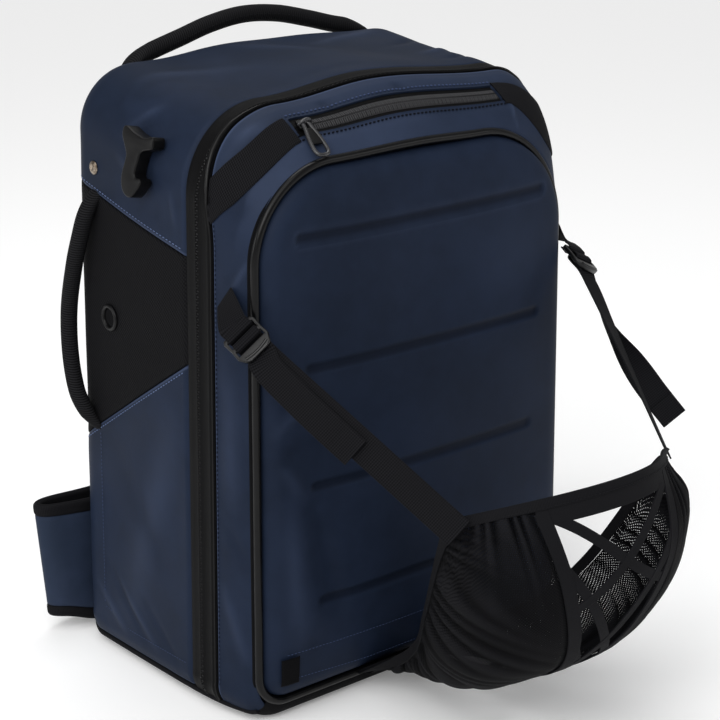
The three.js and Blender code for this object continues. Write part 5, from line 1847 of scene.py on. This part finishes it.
@dataclass(frozen=True)
class NetPocket:
    """Net pocket: lattice panel, gathered knit sides and bound edges."""

    # Share of the way from the root to the rim, edge x, y, z, middle y, z, swell, lattice panel's share
    rows: Table = (
        (0, 60, -127.8, 17, -127.8, 14, 0, 0.36), (0.2, 60, -172, 41, -195, 36, 9, 0.32),
        (0.4, 76, -216, 77, -277, 59, 21, 0.28), (0.6, 98, -250, 123, -344, 97, 34, 0.32),
        (0.8, 117, -287, 193, -377, 170, 32, 0.49), (1, 121, -305, 229, -369, 252, 0, 0.62),
    )
    middle: Triple = (0.0, -220.0, 150.0)
    # Knit: upper and outer ends as shares of the net, thickness, number and height of the main gathers
    knit_ends: Pair = (0.9945, 0.995)
    thick: float = 0.5
    waves: int = 7
    gather: float = 2.0
    binding: Pair = (9.0, 3.2)
    # Upper and lower ends of the lattice bars, which run both ways
    bars: Table = ((0.985, 0.76), (0.86, 0.55), (0.68, 0.38))
    bar_width: float = 9.0
    rail_width: float = 12.0
    # Half span, height and width of the lattice's cross pieces
    crosses: Table = ((0.6, 0.982, 17.0), (0.24, 0.3, 14.0), (0.26, 0.05, 16.0))
    # Thickness of the rails, the cross pieces and the bars
    lattice_thick: Triple = (1.6, 1.5, 1.2)
    # Pitch and thread of the stitches on the bindings
    stitch: Pair = (3.4, 0.7)

    def point(self, u: Array, v: Array) -> Array:
        """Point of the net: rows bowed between edge and middle, swollen away from the net's inside.

        Args:
            u: From edge to edge, -1 to 1.
            v: From the root to the rim, 0 to 1.

        Returns:
            Points.
        """
        u, v = np.broadcast_arrays(np.asarray(u, float), v)
        _, edge_x, edge_y, edge_z, mid_y, mid_z, belly, _ = np.moveaxis(hermite(self.rows, v), -1, 0)
        bow = 1 - u * u
        spot = xyz(edge_x * u, edge_y + (mid_y - edge_y) * bow, edge_z + (mid_z - edge_z) * bow)
        swell = belly * u * u * (1 - np.abs(u) ** 5) * 2.2
        return spot + swell[..., None] * unit(spot - self.middle)

    def normal(self, u: Array, v: Array) -> Array:
        """Outward normal of the net.

        Args:
            u: From edge to edge, -1 to 1.
            v: From the root to the rim, 0 to 1.

        Returns:
            Unit normals.
        """
        wide = self.point(np.minimum(u + 0.01, 1), v) - self.point(np.maximum(u - 0.01, -1), v)
        high = self.point(u, np.minimum(v + 0.01, 1)) - self.point(u, np.maximum(v - 0.01, 0))
        return unit(np.cross(wide, high))

    def panel(self, v: Array) -> Array:
        """Share of the width that the lattice panel takes."""
        return hermite(self.rows, v)[..., 7]

    def bar(self, u: Array, v: Array, width: float, thick: float, lift: float = 0.0) -> Shape:
        """Flat bar along places on the net.

        Args:
            u: Places from edge to edge.
            v: Places from the root to the rim.
            width: Bar width.
            thick: Bar thickness.
            lift: Distance outward.

        Returns:
            The bar.
        """
        out = self.normal(u, v)
        path = self.point(u, v) + lift * out
        across = np.cross(unit(np.gradient(path, axis=0)), out)
        return webbing(path, across, width, thick)

    def lattice(self) -> None:
        """Lattice panel: two rails, cross pieces and crossed bars, as one cut sheet."""
        v = np.linspace(0.012, 0.99, 90)
        rail, cross, bar = self.lattice_thick
        shapes = []
        for side in Side:
            at = self.point(side.value * self.panel(v), v)
            across = unit(at - self.point(side.value * (self.panel(v) - 0.03), v))
            shapes.append(webbing(at - (0.5 * self.rail_width + 0.3) * across, across, self.rail_width, rail))
        for span, height, width in self.crosses:
            u = np.linspace(-span, span, 40)
            shapes.append(self.bar(u, height, width, cross, 0.1))
        for high, low in self.bars:
            start, end = self.panel(high) - 0.04, self.panel(low) - 0.04
            for side in Side:
                u = np.linspace(side.value * start, -side.value * end, 50)
                v = np.linspace(high, low, 50)
                shapes.append(self.bar(u, v, self.bar_width, bar, side.pick(-0.15, 0.2)))
        piece("net_lattice", sum(shapes[1:], shapes[0]), Kit.LATTICE)

    def gathers(self, f: Array, v: Array) -> Array:
        """Small gathers: puffs along the bound edge and below the rim, and wider folds between them.

        Args:
            f: From the lattice to the bound edge, 0 to 1.
            v: From the root to the rim, 0 to 1.

        Returns:
            Heights.
        """

        def ridges(turn: Array) -> Array:
            """Round ridges with narrow valleys: the size of a sine to the power of 0.8, less 0.6."""
            return np.abs(np.sin(turn)) ** 0.8 - 0.6

        beat = v + 0.018 * np.sin(19 * v + 0.5) + 0.009 * np.sin(43 * v + 1.7) + 0.13 * (1 - f)
        force = 0.75 + 0.35 * np.sin(27 * v + 2.0) + 0.2 * np.sin(61 * v)
        reach = 0.36 + 0.13 * np.sin(33 * v + 1.0) + 0.28 * smooth(0.8, 0.6, v)
        puffs = ridges(np.pi * 25 * beat) * force * bell(1 - f, reach)
        puffs = 3.2 * puffs * smooth(0.0, 0.12, v) * smooth(1.0, 0.8, v)
        wide = ridges(np.pi * 8 * beat + 0.7) * f**1.2 * smooth(1.0, 0.7, v)
        sweep = f + 0.03 * np.sin(17 * f + 1.0) + 0.05 * (1 - v)
        drop = 0.12 + 0.04 * np.sin(23 * f)
        rim = 3.2 * ridges(np.pi * 7 * sweep + 0.4) * bell(1 - v, drop)
        return puffs + 1.4 * wide + rim * (1 - f**5)

    def knit(self) -> None:
        """Knit sides: gathers that start at the bound edges and fade into the cloth."""
        top, outer = self.knit_ends
        v = np.linspace(0.0, top, 190)[:, None]
        f = spread(70, 0.04, 3)[None]
        inner = self.panel(v) - 0.05
        hold = smooth(0.05, 0.2, f) * smooth(1.0, 0.985, f)
        small = self.gathers(f, v) * hold
        main = self.gather * np.sin(2 * np.pi * self.waves * v / top + 0.5) * f**1.4 * (1 - v**6)
        for side in Side:
            u = side.value * (inner + (outer - inner) * f)
            grid, out = self.point(u, v), self.normal(u, v)
            rise = small + (main + 2.2 * ripple(grid, 52.0, 17)) * hold
            grid = grid + (rise - 1.3 * smooth(0.16, 0.08, f))[..., None] * out
            facing = np.array([side.value, -1.0, 0.0])
            # Painted shade in the valleys of the small gathers and painted highlights on their crests
            cloth = wall(grid, self.thick, facing, np.clip(-0.35 * small, -0.35, 0.9))
            made = piece(side.of("net_side"), cloth, Kit.NET)

    def bind(self, edge: Array, inner: Array, names: Sequence[str], turn: float = 1.0) -> None:
        """Binding along an edge, with a row of stitches on it.

        Args:
            edge: Points of the edge.
            inner: Points beside them, further in.
            names: Names of the binding and of the stitches.
            turn: 1 or -1, whichever makes the stitches face out.
        """
        width, thick = self.binding
        across = unit(edge - inner)
        path = edge + (0.5 * width - 1.6) * across
        piece(names[0], webbing(path, across, width, thick), Kit.BINDING)
        out = unit(np.cross(np.gradient(path, axis=0), across)) * turn
        row = stitches(path - 2.6 * across + 0.5 * thick * out, out, *self.stitch)
        trim(names[1], row, Kit.BLACK_THREAD)

    def edges(self) -> None:
        """Bindings along the two side edges and the rim."""
        v = np.linspace(0.004, 0.975, 110)
        for side in Side:
            names = side.of("net_edge_binding"), side.of("net_edge_stitches")
            self.bind(self.point(side.value, v), self.point(side.value * 0.97, v), names, side.value)
        u = np.linspace(-1, 1, 150)
        self.bind(self.point(u, 1.0), self.point(u, 0.97), ("net_rim_binding", "net_rim_stitches"))

    def build(self) -> None:
        """All pieces of the net."""
        self.lattice()
        self.knit()
        self.edges()


@dataclass(frozen=True)
class Slings:
    """Buckle tabs, ladder-lock buckles and sling straps with their free ends."""

    net: NetPocket
    buckle: Triple = (188.0, -138.0, 352.0)
    buckle_width: float = 33.0
    buckle_thick: float = 4.0
    tab_bar: Pair = (-15.0, -11.0)
    middle_bar: Pair = (-4.0, 0.0)
    lip: Pair = (5.0, 15.0)
    rail: float = 3.0
    tab_start: Pair = (-98.0, 378.0)
    # Left and right: direction of the tab's width at its seat
    tab_across: tuple[Triple, Triple] = ((0.0, -0.62, 0.78), (0.0, -0.2, 0.98))
    strap_along: Triple = (0.094, -0.88, -0.466)
    strap_across: Triple = (0.688, -0.234, 0.686)
    left_tail: float = 107.0
    tail_drift: float = 7.5
    right_turn: float = math.radians(20)
    right_tail: Table = (
        (185, -165, 313.6), (187, -184.5, 290), (190.5, -203.5, 269.6), (196.5, -221, 248.4), (208, -240, 223)
    )
    # Left and right: height of the strap's end over the net's corner
    corner_lift: Pair = (7.9, 3.4)
    width: float = 25.0
    thick: float = 1.5
    gap: float = 0.3

    @property
    def clear(self) -> float:
        """Distance of a strap's middle from the buckle's."""
        return 0.5 * self.buckle_thick + self.gap + 0.5 * self.thick + 0.25

    def place(self, side: Side, turn: float = 0.0) -> Place:
        """Local frame of a buckle: across the strap, along it and outward.

        Args:
            side: Side of the bag.
            turn: Angle that the frame is turned by about the strap's line.

        Returns:
            The frame.
        """
        flip = np.array([-side.value, 1.0, 1.0])
        run = unit(self.strap_along * flip)
        across = square_to(self.strap_across * flip, run)
        across = across * math.cos(turn) + np.cross(run, across) * math.sin(turn)
        out = toward(np.cross(across, run), AHEAD)
        return Place(np.array(self.buckle) * (side.value, 1.0, 1.0), across, run, out)

    def lock(self, side: Side, place: Place) -> None:
        """Ladder-lock: a moulded plate with two slots, rounded shoulders and a raised lip.

        Args:
            side: Side of the bag.
            place: Frame of the buckle.
        """
        half, tab, bar, lip = 0.5 * self.buckle_width, self.tab_bar, self.middle_bar, self.lip
        right = [(half - 2, tab[0]), (half, tab[0] + 3), (half - 0.6, -2), (half, lip[0] + 1)]
        right += [(half - 3.5, lip[1] - 2.5), (half - 8, lip[1])]
        inner = half - self.rail
        slots = []
        for near, far in ((tab[1], bar[0]), (bar[1], lip[0])):
            slots.append([(-inner, near), (-inner, far), (inner, far), (inner, near)])
        back = place.moved(-0.5 * self.buckle_thick)
        body = plate(symmetric(right), slots, self.buckle_thick, 0.9, back)
        placed(side.of("ladder_lock"), body, Kit.BUCKLE)
        x = np.linspace(-half + 5, half - 5, 24)
        ridge = place.put(xyz(x, 12.0 - 0.012 * x**2, 0.5 * self.buckle_thick))
        trim(side.of("ladder_lock_lip"), tube(ridge, (1.3, 1.0), 10, place.out), Kit.BUCKLE)

    def tab(self, side: Side, place: Place) -> None:
        """Short webbing loop that holds the buckle on the gusset.

        Args:
            side: Side of the bag.
            place: Frame of the buckle.
        """
        seat, normal = FORM.on_side(side, *self.tab_start, self.gap + 0.5 * self.thick + 2.6)
        lying = square_to(np.array(side.pick(*self.tab_across)) * (-side.value, 1.0, 1.0), normal)
        low, high = self.tab_bar
        runs = low - 5, low, high + 0.5, high + 1.6, high + 1.6, high + 0.5, low, low - 3
        offs = 0.8, 1, 1, 0.55, -0.55, -1, -1, -1
        points = [seat] + [place.at(run, self.clear * off) for run, off in zip(runs, offs)]
        across = [lying] + [place.across] * len(runs)
        path = along(np.column_stack([points, across]), 110)
        band = webbing(path[:, :3], path[:, 3:], self.width, self.thick)
        piece(side.of("buckle_tab"), band, Kit.WEBBING)

    def strap(self, side: Side, place: Place) -> None:
        """Sling strap: up from the net's corner, round the buckle's middle bar and back out as a free end.

        Args:
            side: Side of the bag.
            place: Frame of the buckle.
        """
        clear, under = self.clear, self.clear + self.thick + self.gap
        (low, high), lip = self.middle_bar, self.lip[1]
        sewn = self.place(side)
        corner = self.net.point(float(side.value), 1.0) + side.pick(*self.corner_lift) * sewn.out
        leave = place.at(lip + 2, -under)
        pull = unit(leave - corner)
        lean = square_to(place.across, pull)
        lift = toward(np.cross(lean, pull), place.out)
        points = [corner + (leave - corner) * f for f in (side.pick(-0.05, 0.0), 0.25, 0.5, 0.75, 0.93)]
        across = [sewn.across * (1 - s) + place.across * s for s in (0.0, 0.1, 0.35, 0.7, 1.0)]
        turns = (
            (lip - 2, -under), (low + 0.4, -under), (low - 1.6, -under * 0.7), (low - 1.6, clear * 0.55),
            (low - 0.5, clear), (high + 0.5, clear), (high + 1.6, clear * 0.55), (high + 1.6, -clear * 0.55),
            (high + 2.7, -clear), (lip - 2, -clear),
        )
        points += [place.at(*turn) for turn in turns]
        across += [place.across] * len(turns)
        if side is Side.LEFT:
            for reach, drift in ((0.08, 0.6), (0.4, 0.9), (0.7, 1.0), (1.0, 1.0)):
                beside = self.tail_drift * drift * lean - (self.thick + self.gap + 1.4 * drift) * lift
                points.append(leave - self.left_tail * reach * pull - beside)
                across.append(lean)
        else:
            share = np.array([0.3, 0.45, 0.65, 0.9, 1.0])[:, None]
            points.extend(np.array(self.right_tail, float))
            across.extend(unit(place.across * (1 - share) + np.array(self.strap_across) * share))
        path = along(np.column_stack([points, across]), 420)
        band = webbing(path[:, :3], path[:, 3:], self.width, self.thick)
        piece(side.of("sling_strap"), band, Kit.WEBBING)
        end, wide = path[-22:, :3], path[-22:, 3:]
        out = unit(np.cross(np.gradient(end, axis=0), wide))
        out = out * np.sign(out[0] @ place.out)
        fold = webbing(end + 1.2 * out, wide, self.width - 0.6, 1.3)
        trim(side.of("strap_end"), fold, Kit.WEBBING)

    def build(self) -> None:
        """Both slings."""
        for side in Side:
            place = self.place(side, side.pick(0.0, self.right_turn))
            self.lock(side, place)
            self.tab(side, place)
            self.strap(side, place)


@dataclass(frozen=True)
class CarryStraps:
    """Hip wings with bound edges and padded shoulder straps."""

    # Left hip wing seen from above
    wing_path: Table = (
        (-132, 134.6), (-166, 136), (-194, 138), (-209, 142), (-214.5, 149),
        (-209, 156), (-194, 160), (-162, 161), (-130, 160),
    )
    wing_low: float = 4.0
    wing_rise: float = 12.5
    wing_height: float = 125.0
    wing_thick: float = 6.5
    wing_lean: float = 10.0
    binding: float = 13.0
    shoulder_path: Table = (
        (46, 134.8, 486), (50, 147, 462), (62, 162, 400), (80, 168, 320),
        (96, 161, 230), (106, 147, 170), (109, 135.6, 148),
    )
    shoulder_width: float = 58.0
    shoulder_thick: float = 8.0

    def wing_points(self, side: Side, low: float, high: float, count: int) -> Array:
        """Middle surface of a wing, whose lower edge climbs towards its bend.

        Args:
            side: Side of the bag.
            low: Lowest height above the wing's lower edge.
            high: Greatest height above it.
            count: Number of heights.

        Returns:
            Points, a column for each height.
        """
        heights = np.linspace(low, high, count)[None]
        path = np.array(self.wing_path, float) * (-side.value, 1.0)
        line = along(path @ np.eye(2, 3), 90)
        out = smooth(160.0, 214.0, np.abs(line[:, 0]))[:, None]
        z = self.wing_low + self.wing_rise * out + heights * (1 - 0.08 * out)
        lean = side.value * self.wing_lean * out * (heights / self.wing_height - 0.5)
        return xyz(line[:, :1] + lean, line[:, 1:2], z)

    def slab(self, grid: Array, thick: float, radius: float) -> Shape:
        """Padded band round a middle surface: both faces set off by half the thickness, edges rounded."""
        half = (0.5 * thick - hem(edge_gap(flat_map(grid)), radius))[..., None] * normals_of(grid)
        return shell(grid + half, grid - half, flat_map(grid))

    def wings(self) -> None:
        """Both hip wings: navy middle and black bindings along the lower and upper edges."""
        top = self.wing_height - self.binding
        edges = ("low", 0.0, self.binding), ("high", top, self.wing_height)
        for side in Side:
            body = self.wing_points(side, self.binding - 2, top + 2, 40)
            # The wing's coating is painted lighter to stand in for light falling on it
            made = piece(side.of("hip_wing"), self.slab(body, self.wing_thick, 2.5), Kit.WING_PAINTED_LIGHT)
            for name, low, high in edges:
                strip = self.slab(self.wing_points(side, low, high, 14), self.wing_thick + 1.4, 3.6)
                piece(side.of(f"hip_binding_{name}"), strip, Kit.BINDING)

    def shoulders(self) -> None:
        """Both shoulder straps: padded bands that bow away from the back."""
        w = spread(16, 0.08, 4)[None, :, None] - 0.5
        for side in Side:
            path = along(np.array(self.shoulder_path) * (side.value, 1.0, 1.0), 110)
            grid = path[:, None] + w * self.shoulder_width * (1.0, 0.0, 0.0)
            made = piece(side.of("shoulder_strap"), self.slab(grid, self.shoulder_thick, 3.4), Kit.SIDE_CLOTH)

    def build(self) -> None:
        """Hip wings and shoulder straps."""
        self.wings()
        self.shoulders()


@dataclass(frozen=True)
class Studio:
    """Camera at the photograph's angle, soft lights and a pale floor."""

    eye: Triple = (-1.0873, -1.3464, 0.834)
    azimuth: float = -40.0
    pitch: float = 18.3
    lens: float = 100.0
    sensor: float = 36.0
    sky: float = 0.36
    sun: float = 1.65
    sun_from: Triple = (-0.6, -0.45, 0.8)
    # Half width and height of the floor
    floor: Pair = (12.0, -0.0004)
    # Name, place, aim, size and power of the soft boxes
    lights: tuple = (
        ("key", (-1.6, -0.9, 1.5), (0.0, 0.0, 0.3), 0.9, 9.0),
        ("top", (0.2, 0.4, 1.9), (0.0, 0.0, 0.4), 1.0, 9.0),
        ("fill", (1.5, -1.9, 1.2), (0.0, -0.1, 0.3), 0.9, 5.0),
        ("rear", (-1.6, 0.6, 0.7), (-0.2, 0.15, 0.1), 0.5, 4.0),
    )

    def hang(self, data: bpy.types.ID, spot: Triple, back: Array) -> bpy.types.Object:
        """Puts a camera or a light at a spot, level and turned away from a direction.

        Args:
            data: Camera or light.
            spot: Place in metres.
            back: Direction behind it.

        Returns:
            The object that holds it.
        """
        right = unit(np.cross(UP, back))
        holder = shown(data.name, data)
        holder.matrix_world = Place(np.array(spot) / MM, right, np.cross(back, right), back).matrix()
        return holder

    def build(self) -> None:
        """Camera, lights, world and floor."""
        scene = bpy.context.scene
        a, e = math.radians(self.azimuth), math.radians(self.pitch)
        back = np.array([math.sin(a) * math.cos(e), -math.cos(a) * math.cos(e), math.sin(e)])
        camera = bpy.data.cameras.new("camera")
        camera.lens, camera.sensor_width, camera.clip_end = self.lens, self.sensor, 50.0
        scene.camera = self.hang(camera, self.eye, back)
        sun = bpy.data.lights.new("sun", "SUN")
        sun.energy, sun.angle = self.sun, math.radians(70)
        self.hang(sun, self.sun_from, unit(np.array(self.sun_from)))
        for name, spot, aim, size, power in self.lights:
            light = bpy.data.lights.new(name, "AREA")
            light.energy, light.size = power, size
            self.hang(light, spot, unit(np.subtract(spot, aim)))
        scene.world = bpy.data.worlds.new("studio")
        scene.world.use_nodes = True
        sky = scene.world.node_tree.nodes["Background"].inputs
        sky["Color"].default_value = (1.0, 1.0, 1.0, 1.0)
        sky["Strength"].default_value = self.sky
        scene.view_settings.view_transform = "Standard"
        half, height = self.floor
        x = np.linspace(-half, half, 3)
        mesh = bpy.data.meshes.new("floor")
        points = xyz(x, x[:, None], height).reshape(-1, 3)
        mesh.from_pydata(points.tolist(), [], grid_quads(3, 3).tolist())
        floor = shown("floor", mesh)
        shader = Shader("pale_floor")
        shader.set({"Base Color": (0.95, 0.95, 0.95, 1.0), "Roughness": 1.0, "Specular IOR Level": 0.0})
        shader.set({"Emission Color": (1.0, 1.0, 1.0, 1.0), "Emission Strength": 0.12})
        mesh.materials.append(shader.material)


def note_sizes() -> None:
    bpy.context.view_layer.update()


def main() -> None:
    """Builds the studio and every sub-assembly of the bag."""
    logging.basicConfig(level=logging.INFO, format="%(message)s")
    net, front = NetPocket(), FrontSection()
    shells = Studio(), RearShell(), front, FrontPanel()
    fittings = Handles(), SideFittings(), YokeStraps(front), net, Slings(net), CarryStraps()
    for assembly in shells + fittings:
        LOG.info("building %s", type(assembly).__name__)
        assembly.build()
    note_sizes()


if __name__ == "__main__":
    main()
